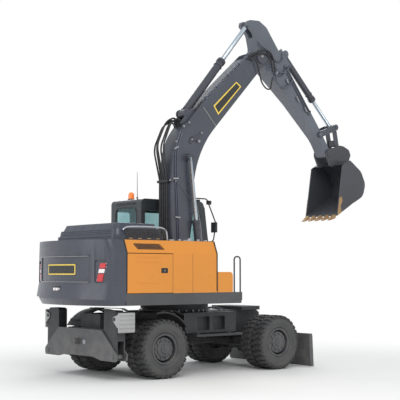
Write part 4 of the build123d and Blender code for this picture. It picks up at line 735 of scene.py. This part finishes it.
def makePanelTrim(side):
    tag = sideNames[side]
    face = side * panel["face"]
    width, depth = panel["lineWidth"], 2 * panel["lineDepth"]
    lines = [
        ((rearAxle.x + (start + end) / 2, face, z), (end - start, depth, width))
        for start, end, z in pressedLines
    ]
    upright = (rearAxle.x + panel["uprightX"], face, panel["uprightZ"])
    lines.append((upright, (width, depth, panel["uprightHeight"])))
    blocks("pressedLines_" + tag, "orangePaint", "side_door_" + tag, lines, bevel=0.003)
    x0, x1 = (rearAxle.x + x for x in panel["latchX"])
    z0, z1 = panel["latchZ"]
    x, z = (x0 + x1) / 2, (z0 + z1) / 2
    plate = ((x, face, z), (x1 - x0, 0.012, z1 - z0))
    blocks("latch_" + tag, "blackPlastic", "side_door_" + tag, [plate], bevel=0.005)
    mesh = bmesh.new()
    rod(mesh, (x, face, z), (x, face + side * 0.010, z), panel["keyRadius"], 20)
    finishPiece("latchKey_" + tag, mesh, "boltSteel", "side_door_" + tag, bevel=0.002)
    seams = [panel["doorSeam"]] if side > 0 else [panel["seam"], panel["doorSeam"]]
    blocks("seams_" + tag, "blackPlastic", "upper", [
        ((rearAxle.x + x, face, panel["seamZ"]), (0.005, 0.002, panel["seamHeight"])) for x in seams
    ], bevel=0.0)
    mesh = bmesh.new()
    rise = Vector((0, -side * vent["inward"], vent["rise"])).normalized()
    outward = Vector((0, side * vent["rise"], vent["inward"])).normalized()
    base = Vector((0, face, vent["creaseZ"]))
    for number in range(vent["rows"]):
        up = vent["first"] + number * vent["pitch"]
        slant = (up - vent["low"]) / vent["height"]
        x0 = rearAxle.x + vent["start"] - vent["startLean"] * slant + vent["inset"]
        x1 = rearAxle.x + vent["end"] - vent["endLean"] * slant - vent["inset"]
        middle = base + rise * up - outward * vent["sunk"]
        place = ((x0 + x1) / 2, middle.y, middle.z)
        block(mesh, place, (x1 - x0, 0.008, 0.0045), -side * radians(vent["turn"]), "X")
    finishPiece("ventSlats_" + tag, mesh, "ventMesh", "upper")


for side in (1, -1):
    makePanelTrim(side)

# Raised edge round the tail's pressed panel, light grey as a painted highlight along it
rim = dict(half=0.812, low=1.722, high=2.172, radius=2.640, thick=0.006)
for z in (rim["low"], rim["high"]):
    points = [(tailX(y, rim["radius"]), y, z) for y in [rim["half"] * (n / 8 - 1) for n in range(17)]]
    tube(f"tailRim{round(z * 1000)}", points, rim["thick"], "panelEdge", "upper")

# Rubber seals, behind the housings and at their front edge, the front one on the right also a dark line of
# painted shade along that edge: name, sides, x, face, top and thickness
sealLines = [
    ("tailSeal", (1, -1), -3.137, 1.249, 1.177, 0.008),
    ("frontSeal", (-1,), -1.090, 1.250, 1.178, 0.011),
]
for name, sides, x, face, top, thick in sealLines:
    for side in sides:
        points = [
            (x, side * face, 1.545), (x, side * face, 1.9), (x, side * face, 2.228), (x, side * face, 2.236),
            (x - 0.02, side * (top + 0.004), 2.455), (x - 0.02, side * top, 2.466),
            (x - 0.02, side * (top - 0.25), 2.468),
        ]
        tube(name + sideNames[side].title(), points, thick, "hoseRubber", "upper")
print("panel trim made")

# Hood: bright rail over a dark net on the right flank, brass tabs, flutes along its tiers, ribs on top
railRoute = [
    (-3.043, -0.975, 2.640), (-3.003, -0.985, 2.690), (-2.843, -0.985, 2.702), (-2.593, -0.985, 2.708),
    (-2.303, -0.985, 2.706), (-2.183, -0.985, 2.700), (-2.093, -0.985, 2.655), (-2.073, -0.990, 2.58),
    (-2.068, -0.990, 2.475),
]
net = dict(face=-1.004, low=2.500, high=2.672, start=-3.003, end=-2.113, bars=30, lines=5, lean=18)
tabs = dict(count=4, first=-2.893, pitch=0.20, size=(0.075, 0.010, 0.012))
flutes = [(2.487, 0.002), (2.522, 0.004), (2.585, 0.035), (2.618, 0.043), (2.650, 0.051)]  # height, drawn in
ribs = dict(count=5, first=-2.993, pitch=0.19, size=(0.05, 1.30, 0.010), z=2.777)
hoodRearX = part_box("hood")[0].x


def makeHoodNet():
    mesh = bmesh.new()
    length, height = net["end"] - net["start"], net["high"] - net["low"]
    for number in range(net["bars"]):
        place = (net["start"] + length * (number + 0.5) / net["bars"], net["face"], net["low"] + height / 2)
        block(mesh, place, (0.007, 0.008, height), radians(net["lean"] if number % 2 else -net["lean"]))
    for number in range(net["lines"]):
        place = (net["start"] + length / 2, net["face"], net["low"] + height * number / (net["lines"] - 1))
        block(mesh, place, (length, 0.010, 0.007))
    finishPiece("hoodNet", mesh, "ventMesh", "hood")


tube("hoodRail", railRoute, 0.017, "railSteel", "hood")
makeHoodNet()
blocks("hoodTabs", "tabBrass", "hood", [
    ((tabs["first"] + number * tabs["pitch"], net["face"] - 0.004, net["low"] - 0.004), tabs["size"])
    for number in range(tabs["count"])
], bevel=0.003)
mesh = bmesh.new()
for z, drawn in flutes:
    block(mesh, (hoodRearX + drawn, 0.0, z), (0.012, 2 * (0.860 - drawn), 0.012))
    block(mesh, (hoodRearX + 0.57, 1.0 - drawn, z), (0.86, 0.012, 0.012))
    block(mesh, (hoodRearX + 0.145, 0.0, z), (0.012, 0.10, 0.012))
finishPiece("hoodFlutes", mesh, "hoodPaint", "hood", bevel=0.003)
blocks("hoodRibs", "hoodPaint", "hood", [
    ((ribs["first"] + number * ribs["pitch"], 0, ribs["z"]), ribs["size"]) for number in range(ribs["count"])
])

# Caps, hinges and lifting eyes on the right housing's top: x, y and size
housingTop = 2.468
fillerCap = dict(place=(-1.543, -0.98), low=2.463, high=2.52, radius=0.045, topRadius=0.040)
fittings = [
    (-1.993, -1.02, (0.10, 0.05, 0.024)), (-1.843, -1.06, (0.05, 0.05, 0.030)),
    (-1.663, -1.03, (0.12, 0.04, 0.020)), (-1.393, -1.05, (0.05, 0.04, 0.034)),
    (-1.223, -1.06, (0.07, 0.04, 0.022)),
]
mesh = bmesh.new()
for x, y, size in fittings:
    block(mesh, (x, y, housingTop + size[2] / 2), size)
rod(mesh, (*fillerCap["place"], fillerCap["low"]), (*fillerCap["place"], fillerCap["high"]),
    fillerCap["radius"], 28, fillerCap["topRadius"])
finishPiece("housingFittings", mesh, "railSteel", "upper", bevel=0.004)
print("hood trim made")

# Cab: rubber seals round the windows, handle, grab rail, roof lamps, brow, and a corner pane dark with
# painted shade, its seal light grey as a painted highlight
cabLow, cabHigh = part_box("cab_shell")
doorLow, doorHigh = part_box("cab_door")
cabMiddleY = (cabLow.y + cabHigh.y) / 2
sealLook = dict(border=0.020, depth=0.012)


def windowSeal(name, body, centre, width, height, corner, axis):
    mesh = bmesh.new()
    plate = bmesh.ops.create_grid(mesh, x_segments=1, y_segments=1, size=0.5)["verts"]
    bmesh.ops.scale(mesh, vec=(width, height, 1), verts=plate)
    bmesh.ops.bevel(
        mesh, geom=mesh.verts[:], offset=corner, offset_type="OFFSET", affect="VERTICES", segments=5,
        profile=0.5, material=-1,
    )
    whole = max(mesh.faces, key=lambda f: f.calc_area())
    bmesh.ops.inset_individual(mesh, faces=[whole], thickness=sealLook["border"])
    bmesh.ops.delete(mesh, geom=[whole], context="FACES")
    raiseFaces(mesh, mesh.faces[:], (0, 0, sealLook["depth"]))
    bmesh.ops.translate(mesh, vec=(0, 0, -sealLook["depth"] / 2), verts=mesh.verts[:])
    across = Matrix(((0, 0, 1), (1, 0, 0), (0, 1, 0)))
    lengthways = Matrix(((1, 0, 0), (0, 0, -1), (0, 1, 0)))
    turn = across if axis == "X" else lengthways
    bmesh.ops.rotate(mesh, verts=mesh.verts[:], cent=(0, 0, 0), matrix=turn)
    bmesh.ops.translate(mesh, vec=centre, verts=mesh.verts[:])
    finishPiece(name, mesh, "blackPlastic", body, bevel=0.003)


# columns: name, body, middle of the window, width, height, corner, axis of its normal
for row in (
    ("sealRear", "upper", (cabLow.x, cabMiddleY, 2.90), 0.74, 0.56, 0.125, "X"),
    ("sealRightRear", "upper", (cabLow.x + 0.29, cabLow.y, 2.79), 0.44, 0.66, 0.075, "Y"),
    ("sealRightFront", "upper", (cabLow.x + 1.01, cabLow.y, 2.56), 0.94, 1.12, 0.075, "Y"),
    ("sealLeftRear", "upper", (cabLow.x + 0.28, cabHigh.y, 2.83), 0.40, 0.60, 0.075, "Y"),
    ("sealDoor", "cab_door", ((doorLow.x + doorHigh.x) / 2, doorHigh.y, 2.60), doorHigh.x - doorLow.x - 0.08,
     1.09, 0.075, "Y"),
):
    windowSeal(*row)

handle = dict(back=0.07, z=1.98, size=(0.10, 0.026, 0.034))
blocks("doorHandle", "blackPlastic", "cab_door", [
    ((doorHigh.x - handle["back"], doorHigh.y + 0.012, handle["z"]), handle["size"])
], bevel=0.006)
grabRail = dict(x=0.47, off=0.010, foot=-0.002, heights=(1.96, 2.2, 2.6, 2.74), radius=0.010)
grabX = cabLow.x + grabRail["x"]
tube("grabRail", [
    (grabX, cabHigh.y + grabRail["foot"], grabRail["heights"][0] - 0.01),
    *((grabX, cabHigh.y + grabRail["off"], z) for z in grabRail["heights"]),
    (grabX, cabHigh.y + grabRail["foot"], grabRail["heights"][-1] + 0.01),
], grabRail["radius"], "blackPlastic", "upper")

roofLamp = dict(
    inset=0.16, back=0.215, z=3.352, size=(0.07, 0.13, 0.058), glassBack=0.178, glass=(0.006, 0.11, 0.042),
)
for name, finish, back, size, bevel in (
    ("roofLamps", "blackPlastic", roofLamp["back"], roofLamp["size"], 0.008),
    ("roofLampGlasses", "lampClear", roofLamp["glassBack"], roofLamp["glass"], 0.004),
):
    blocks(name, finish, "upper", [
        ((cabHigh.x - back, y, roofLamp["z"]), size)
        for y in (cabLow.y + roofLamp["inset"], cabHigh.y - roofLamp["inset"])
    ], bevel)

# the corner pane is an opaque dark sheet: a window with the cab's painted shade behind it
cornerPane = [
    (-0.363, 3.215), (-0.188, 3.215), (-0.093, 2.50), (-0.073, 1.78), (-0.243, 1.78), (-0.243, 2.45),
]
# rubber seal round the corner pane, light grey as a painted highlight
paneSealHighlight = [(-0.398, 3.235), (-0.363, 3.12), (-0.288, 2.80), (-0.261, 2.45), (-0.258, 1.79)]
mesh = bmesh.new()
outline = mesh.faces.new([mesh.verts.new(place) for place in inPlane(cabLow.y - 0.001, cornerPane)])
raiseFaces(mesh, [outline], (0, -0.005, 0))
finishPiece("cornerPane", mesh, "paneDark", "upper", bevel=0.002)
tube("cornerPaneSeal", inPlane(cabLow.y - 0.008, paneSealHighlight), 0.012, "panelEdge", "upper")
blocks("cabBrow", "blackPlastic", "upper", [
    ((cabLow.x - 0.004, cabMiddleY, 3.245), (0.014, 0.62, 0.050))
], bevel=0.006)
print("cab trim made")

# Boom: weld seams on both sides; brackets, fittings and thin lines on the right one. Routes are (x, z).
boomFace = boomY - 0.185
boomWelds = [  # columns: name, finish, radius, route
    ("boomWeld", "weldSeam", 0.006, [(-0.656, 5.160), (-0.493, 4.987), (-0.331, 4.815)]),
    ("boomTipLine", "weldBead", 0.007, [(0.414, 6.159), (0.497, 6.035), (0.586, 5.919)]),
    ("boomTipWeld", "weldBead", 0.007, [(0.553, 6.203), (0.657, 6.15), (0.692, 6.091), (0.727, 5.99)]),
]
for side in (1, -1):
    for name, finish, radius, route in boomWelds:
        tube(name + sideNames[side].title(), inPlane(boomY + side * 0.186, route), radius, finish, "boom")
blocks("boomBrackets", "barrelPaint", "boom", [
    ((-1.113, boomFace - 0.012, 4.775), (0.20, 0.026, 0.050), -32),
    ((-0.863, boomFace - 0.014, 4.53), (0.20, 0.030, 0.085), -18),
    ((-0.988, boomFace - 0.010, 4.47), (0.06, 0.022, 0.11), 20),
])
boomFittings = [  # columns: x, z, radius
    (-1.178, 4.735, 0.019), (-1.043, 4.82, 0.017), (-0.733, 4.64, 0.018), (-0.803, 4.47, 0.026),
    (-0.973, 4.49, 0.015), (-1.513, 3.66, 0.014), (-1.363, 4.42, 0.014), (0.897, 6.40, 0.030),
    (-1.373, 3.65, 0.012),
]
mesh = bmesh.new()
for x, z, size in boomFittings:
    boltHead(mesh, (x, boomFace - 0.024, z), (0, -1, 0), size, size * 1.1)
finishPiece("boomFittings", mesh, "boltSteel", "boom")
sidePipes = {
    "boomSidePipeA": [
        (-1.243, 4.62), (-1.323, 4.45), (-1.368, 4.25), (-1.383, 3.9), (-1.343, 3.2), (-1.313, 2.5),
    ],
    "boomSidePipeB": [
        (-1.203, 4.60), (-1.283, 4.43), (-1.328, 4.25), (-1.343, 3.9), (-1.303, 3.2), (-1.273, 2.5),
    ],
}
# side pipes in the pipe paint with its painted bluish sheen
for name, route in sidePipes.items():
    tube(name, inPlane(boomFace - 0.014, route), 0.011, "pipePaint", "boom")
blocks("sidePipeClamps", "boltSteel", "boom", [
    ((-1.363, boomFace - 0.018, 3.70), (0.12, 0.030, 0.030), -4),
    ((-1.318, boomFace - 0.018, 2.95), (0.12, 0.030, 0.030), 4),
    ((-1.353, boomFace - 0.018, 4.30), (0.11, 0.030, 0.030), -30),
])
wireRoute = [(-1.303, 3.62), (-1.143, 3.46), (-0.963, 3.27)]
tube("boomWire", inPlane(boomFace - 0.006, wireRoute), 0.006, "weldBead", "boom")

# Hoses over the boom's tip, tied to no body; the arm's own pipes lie on its right side
hoses = [  # columns: name, radius, distance off the side, route
    ("tipHoseA", 0.017, 0.048, [
        (0.517, 6.356), (0.800, 6.488), (1.015, 6.559), (1.159, 6.499), (1.247, 6.32), (1.257, 6.16),
    ]),
    ("tipHoseB", 0.017, 0.050, [
        (0.557, 6.30), (0.757, 6.42), (0.977, 6.48), (1.107, 6.42), (1.177, 6.26), (1.187, 6.12),
    ]),
    ("tipHoseC", 0.016, 0.060, [
        (0.477, 6.30), (0.677, 6.34), (0.757, 6.20), (0.807, 6.001), (0.867, 5.823), (1.007, 5.711),
        (1.117, 5.73), (1.137, 5.829), (1.177, 5.98),
    ]),
]
for name, radius, off, route in hoses:
    hose = tube(name, inPlane(boomFace - off, route), radius, "hoseRubber")
    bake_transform(hose)
armFace = boomY - 0.150
armPipes = [
    ("armHoseA", 0.015, 0.050, [
        (0.797, 6.70), (0.957, 6.60), (1.123, 6.548), (1.249, 6.405), (1.302, 6.197), (1.485, 6.113),
        (1.671, 6.219), (1.766, 6.367),
    ]),
    ("armHoseB", 0.015, 0.040, [
        (1.327, 6.15), (1.332, 6.0), (1.377, 5.86), (1.556, 5.812), (1.743, 5.902), (1.817, 6.02),
    ]),
]
# arm pipes in the pipe paint with its painted bluish sheen
for name, radius, off, route in armPipes:
    tube(name, inPlane(armFace - off, route), radius, "pipePaint", "arm")
blocks("armClamps", "boltSteel", "arm", [
    ((1.357, armFace - 0.030, 6.12), (0.05, 0.030, 0.11), 40),
    ((1.677, armFace - 0.026, 5.98), (0.10, 0.030, 0.030), 60),
    ((1.987, armFace - 0.026, 5.62), (0.14, 0.030, 0.026), 55),
    ((2.227, armFace - 0.026, 5.42), (0.12, 0.030, 0.026), 55),
])
print("boom and arm trim made")

# Caps on the arm's pin, with five bolts round each
pinCap = dict(radius=0.075, face=0.184, height=0.012, bolts=5, boltRing=0.115, first=55, step=38)
capTop = pinCap["face"] + pinCap["height"]
mesh = bmesh.new()
for side in (1, -1):
    top = (boomPin.x, boomY + side * capTop, boomPin.z)
    rod(mesh, (boomPin.x, boomY + side * pinCap["face"], boomPin.z), top, pinCap["radius"], 32, 0.070)
    boltHead(mesh, top, (0, side, 0), 0.022, 0.018)
finishPiece("armPinCaps", mesh, "barrelPaint", "boom", bevel=0.003)
mesh = bmesh.new()
for number in range(pinCap["bolts"]):
    angle = radians(pinCap["first"] + number * pinCap["step"])
    x, z = boomPin.x + pinCap["boltRing"] * cos(angle), boomPin.z + pinCap["boltRing"] * sin(angle)
    for side in (1, -1):
        boltHead(mesh, (x, boomY + side * 0.186, z), (0, side, 0), 0.010, 0.012)
finishPiece("armPinBolts", mesh, "boltSteel", "boom")

# Gland rings on the cylinders, made from each barrel's open end: distance back, width, growth
glandSteps = [(0.022, 0.030, 0.006), (0.075, 0.014, 0.004), (0.17, 0.012, 0.005)]
gland = dict(bolts=8, boltInset=0.012, boltSize=0.008, pairApart=0.4)


def glandRings(name):
    along = slideAxis(name.replace("_barrel", "_rod"))
    spans = spansAlong(name, along)
    end = max(spans) if max(spansAlong(name.replace("_barrel", "_rod"), along)) > max(spans) else min(spans)
    inward = along * (-1.0 if end == max(spans) else 1.0)
    tip = [vert.co.copy() for vert in nodes[name].data.vertices if abs(vert.co.dot(along) - end) < 0.004]
    lowY, highY = min(place.y for place in tip), max(place.y for place in tip)
    groups = [tip]
    if highY - lowY > gland["pairApart"]:  # a pair of cylinders in one body
        middle = (lowY + highY) / 2
        groups = [[place for place in tip if place.y > middle], [place for place in tip if place.y <= middle]]
    across = along.orthogonal().normalized()
    other = along.cross(across)
    mesh = bmesh.new()
    for group in groups:
        centre = sum(group, Vector()) / len(group)
        radius = max((place - centre).length for place in group)
        for back, wide, grow in glandSteps:
            rod(mesh, centre + inward * back, centre + inward * (back + wide), radius + grow, 28)
        for number in range(gland["bolts"]):
            angle = 2 * pi * number / gland["bolts"]
            place = centre + (across * cos(angle) + other * sin(angle)) * (radius - gland["boltInset"])
            boltHead(mesh, place, -inward, gland["boltSize"], gland["boltSize"])
    finishPiece(name + "Gland", mesh, "barrelPaint", nodes[name]["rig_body"], bevel=0.002)


for name in nodeFinishes["barrelPaint"]:
    glandRings(name)
print("pins and glands made")

# Undercarriage: mudguards over the rear wheels, drive shaft, carrier bosses, ring bolts and hoses
guard = dict(
    radius=0.655, thick=0.008, inner=0.690, outer=1.170, lip=0.022, strap=(0.030, 0.48, 0.020), strapY=0.93,
)
# columns: name, side, start and end in degrees up from the front
mudguards = [("mudguardLeft", 1, 38, 148), ("mudguardRight", -1, 34, 104)]


def mudguard(name, side, startDegrees, endDegrees):
    mesh = bmesh.new()
    radius, thick, inner, outer, lip = (guard[key] for key in ("radius", "thick", "inner", "outer", "lip"))
    axle = Vector((rearAxle.x, 0.0, rearAxle.z))
    section = [
        (inner, radius), (outer, radius), (outer, radius - lip), (outer + thick, radius - lip),
        (outer + thick, radius + thick), (inner, radius + thick),
    ]
    verts = [mesh.verts.new((axle.x + away, side * across, axle.z)) for across, away in section]
    edges = [mesh.edges.new((verts[n], verts[(n + 1) % len(verts)])) for n in range(len(verts))]
    face = bmesh.ops.contextual_create(mesh, geom=edges)["faces"][0]
    bmesh.ops.rotate(mesh, verts=verts, cent=axle, matrix=Matrix.Rotation(-radians(startDegrees), 3, "Y"))
    sweep = -radians(endDegrees - startDegrees)
    bmesh.ops.spin(
        mesh, geom=verts + edges + [face], cent=axle, axis=(0, 1, 0), angle=sweep, steps=28, use_merge=False
    )
    for degrees in (startDegrees + 12, (startDegrees + endDegrees) / 2, endDegrees - 12):
        turn = radians(degrees)
        place = axle + Vector((cos(turn), 0, sin(turn))) * (radius + 0.014)
        block(mesh, (place.x, side * guard["strapY"], place.z), guard["strap"], pi / 2 - turn)
    finishPiece(name, mesh, "blackPlastic", "chassis", bevel=0.002)


for row in mudguards:
    mudguard(*row)
shaft = dict(z=0.565, radius=0.042, jointRadius=0.070, jointHalf=0.035, gearbox=(-1.18, 0.0, 0.640))
mesh = bmesh.new()
rod(mesh, (rearAxle.x + 0.26, 0, shaft["z"]), (frontAxle.x - 0.22, 0, shaft["z"]), shaft["radius"], 24)
for x in (rearAxle.x + 0.33, frontAxle.x - 0.30, -0.95):
    ends = [(x + reach, 0, shaft["z"]) for reach in (-shaft["jointHalf"], shaft["jointHalf"])]
    rod(mesh, *ends, shaft["jointRadius"], 24)
block(mesh, shaft["gearbox"], (0.34, 0.30, 0.20))
finishPiece("driveShaft", mesh, "chassisPaint", "chassis", bevel=0.006)
boss = dict(places=[(0.065, 0.668), (-0.182, 0.648)], radius=0.042, x=(-3.305, -3.325, -3.336))
mesh = bmesh.new()
for y, z in boss["places"]:
    foot, step, top = ((x, y, z) for x in boss["x"])
    rod(mesh, foot, step, boss["radius"], 28)
    rod(mesh, step, top, boss["radius"] * 0.62, 28)
finishPiece("carrierBosses", mesh, "railSteel", "chassis", bevel=0.003)
ring = dict(bolts=30, radius=0.672, z=1.150, size=0.013, height=0.034)
mesh = bmesh.new()
for number in range(ring["bolts"]):
    angle = 2 * pi * number / ring["bolts"]
    place = (slewAxis.x + ring["radius"] * cos(angle), ring["radius"] * sin(angle), ring["z"])
    boltHead(mesh, place, (0, 0, 1), ring["size"], ring["height"])
finishPiece("ringBolts", mesh, "boltSteel", "chassis")
frameHoses = [(-0.34, 0.10), (-0.38, 0.16), (-0.30, 0.07), (0.34, 0.10), (0.38, 0.14)]  # y and sag
for number, (y, sag) in enumerate(frameHoses):
    tube(f"frameHose{number}", [
        (-1.75, y, 0.86), (-1.45, y * 1.1, 0.78 - sag * 0.6), (-0.9, y * 1.2, 0.76 - sag),
        (-0.4, y * 1.1, 0.80 - sag * 0.5), (-0.1, y, 0.90),
    ], 0.014, "hoseRubber", "chassis")
for number, y in enumerate((-0.10, -0.06, 0.06, 0.10)):
    tube(f"swivelHose{number}", [
        (-0.62, y * 3, 1.155), (-0.45, y * 3.4, 1.21), (-0.30, y * 3.6, 1.20), (-0.16, y * 3.8, 1.150),
    ], 0.013, "pipeSteel", "chassis")
print("undercarriage trim made")

# Beacon: a domed lamp on its base, and the roof's two antennas
beaconPlace = Vector((-1.453, 1.015, 3.345))
domeProfile = [
    (0.0, 0.0), (0.062, 0.0), (0.062, 0.075), (0.056, 0.105), (0.040, 0.128), (0.018, 0.140), (0.0, 0.142),
]
antennas = [  # columns: x at the foot and at the tip, y, low, high, radius, sides, tip radius
    (-1.723, -1.723, 0.43, 3.33, 3.37, 0.016, 16, 0.016),
    (-1.723, -1.728, 0.43, 3.37, 3.86, 0.0065, 10, 0.004),
    (-0.743, -0.743, 0.40, 3.33, 3.40, 0.020, 16, 0.012),
    (-0.743, -0.743, 0.40, 3.40, 3.52, 0.008, 10, 0.008),
]
mesh = bmesh.new()
verts = [mesh.verts.new(beaconPlace + Vector((r, 0, 0.03 + z))) for r, z in domeProfile]
edges = [mesh.edges.new(pair) for pair in zip(verts, verts[1:])]
bmesh.ops.spin(
    mesh, geom=verts + edges, cent=beaconPlace, axis=(0, 0, 1), angle=2 * pi, steps=32, use_merge=True
)
bmesh.ops.remove_doubles(mesh, verts=mesh.verts, dist=0.0002)
dome = finishPiece("beaconDome", mesh, "amberCap", "upper", smooth=40)
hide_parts("beacon")
mesh = bmesh.new()
rod(mesh, beaconPlace - Vector((0, 0, 0.02)), beaconPlace + Vector((0, 0, 0.032)), 0.070, 32)
block(mesh, beaconPlace + Vector((0.10, -0.08, 0.0)), (0.10, 0.22, 0.028))
finishPiece("beaconBase", mesh, "blackPlastic", "upper", bevel=0.005)
mesh = bmesh.new()
for footX, tipX, y, low, high, radius, sides, tipRadius in antennas:
    rod(mesh, (footX, y, low), (tipX, y, high), radius, sides, tipRadius)
finishPiece("antennas", mesh, "hoseRubber", "upper")
print("roof trim made")

# Ground, lights, background and camera
stageLook = dict(
    floorSize=60.0, floorColour=(0.90, 0.895, 0.88), fadeStart=3.5, fadeEnd=9.0, sky=0.78,
    skyColour=(0.94, 0.97, 1.0, 1.0),
)
lightTable = [  # columns: name, place, target, size, power, tint
    ("keyLight", (-8.0, -12.0, 12.0), (-0.5, 0.0, 2.2), (9.0, 7.0), 900.0, (1.0, 0.985, 0.96)),
    ("fillLight", (-16.0, 3.0, 6.0), (-1.0, 0.0, 2.0), (7.0, 7.0), 260.0, (0.95, 0.975, 1.0)),
    ("rimLight", (7.0, 10.0, 10.0), (0.0, 0.0, 2.6), (8.0, 5.0), 420.0, (1.0, 1.0, 1.0)),
]
cameraLook = dict(lens=89.09, place=(-13.055, -15.366, 1.892), pitch=94.18, heading=50.71 - 90.0)
white = (1.0, 1.0, 1.0, 1.0)


def makeFloor():
    mesh = bmesh.new()
    bmesh.ops.create_grid(mesh, x_segments=1, y_segments=1, size=stageLook["floorSize"])
    data = bpy.data.meshes.new("floor")
    mesh.to_mesh(data)
    mesh.free()
    material, tree, coords = newMaterial("floorGrey")
    colour = stageLook["floorColour"]
    patches = noiseMask(tree, coords, 0.8, 0.3, 0.7, 3.0)
    base = layered(tree, patches, tuple(part * 0.98 for part in colour), colour)
    matt = addNode(tree, "BsdfPrincipled", {"Base Color": base, "Roughness": 0.9, "Specular IOR Level": 0.0})
    # the floor fades to white away from the machine
    distance = addNode(tree, "VectorMath", {0: coords}, operation="LENGTH").outputs["Value"]
    fade = {"interpolation_type": "SMOOTHSTEP"}
    away = mapRange(tree, distance, stageLook["fadeStart"], stageLook["fadeEnd"], **fade)
    plain = addNode(tree, "Emission", {"Color": white})
    blend = addNode(tree, "MixShader", {0: away, 1: matt.outputs[0], 2: plain.outputs[0]})
    addNode(tree, "OutputMaterial", {"Surface": blend.outputs[0]})
    data.materials.append(material)
    return addObject("floor", data)


def areaLight(name, place, target, size, power, tint):
    data = bpy.data.lights.new(name, "AREA")
    data.shape = "RECTANGLE"
    data.size, data.size_y = size
    data.energy = power
    data.color = tint
    light = addObject(name, data)
    light.location = place
    light.rotation_euler = (Vector(target) - Vector(place)).to_track_quat("-Z", "Y").to_euler()


def makeWorld():
    world = bpy.data.worlds.new("studio")
    bpy.context.scene.world = world
    tree = emptyTree(world)
    seen = addNode(tree, "LightPath", {}).outputs
    visible = mathNode(tree, "MAXIMUM", seen["Is Camera Ray"], seen["Is Transmission Ray"])
    lit = addNode(tree, "Background", {"Color": stageLook["skyColour"], "Strength": stageLook["sky"]})
    plain = addNode(tree, "Background", {"Color": white})
    mix = addNode(tree, "MixShader", {0: visible, 1: lit.outputs[0], 2: plain.outputs[0]})
    addNode(tree, "OutputWorld", {"Surface": mix.outputs[0]})


floor = makeFloor()
for row in lightTable:
    areaLight(*row)
makeWorld()
cameraData = bpy.data.cameras.new("photoView")
cameraData.lens = cameraLook["lens"]
cameraData.sensor_width = 36.0
cameraData.clip_end = 200.0
camera = addObject("photoView", cameraData)
camera.location = cameraLook["place"]
camera.rotation_euler = (radians(cameraLook["pitch"]), 0.0, radians(cameraLook["heading"]))
bpy.context.scene.camera = camera
bpy.context.scene.view_settings.view_transform = "Standard"
bpy.context.scene.view_settings.look = "None"
print("stage set")
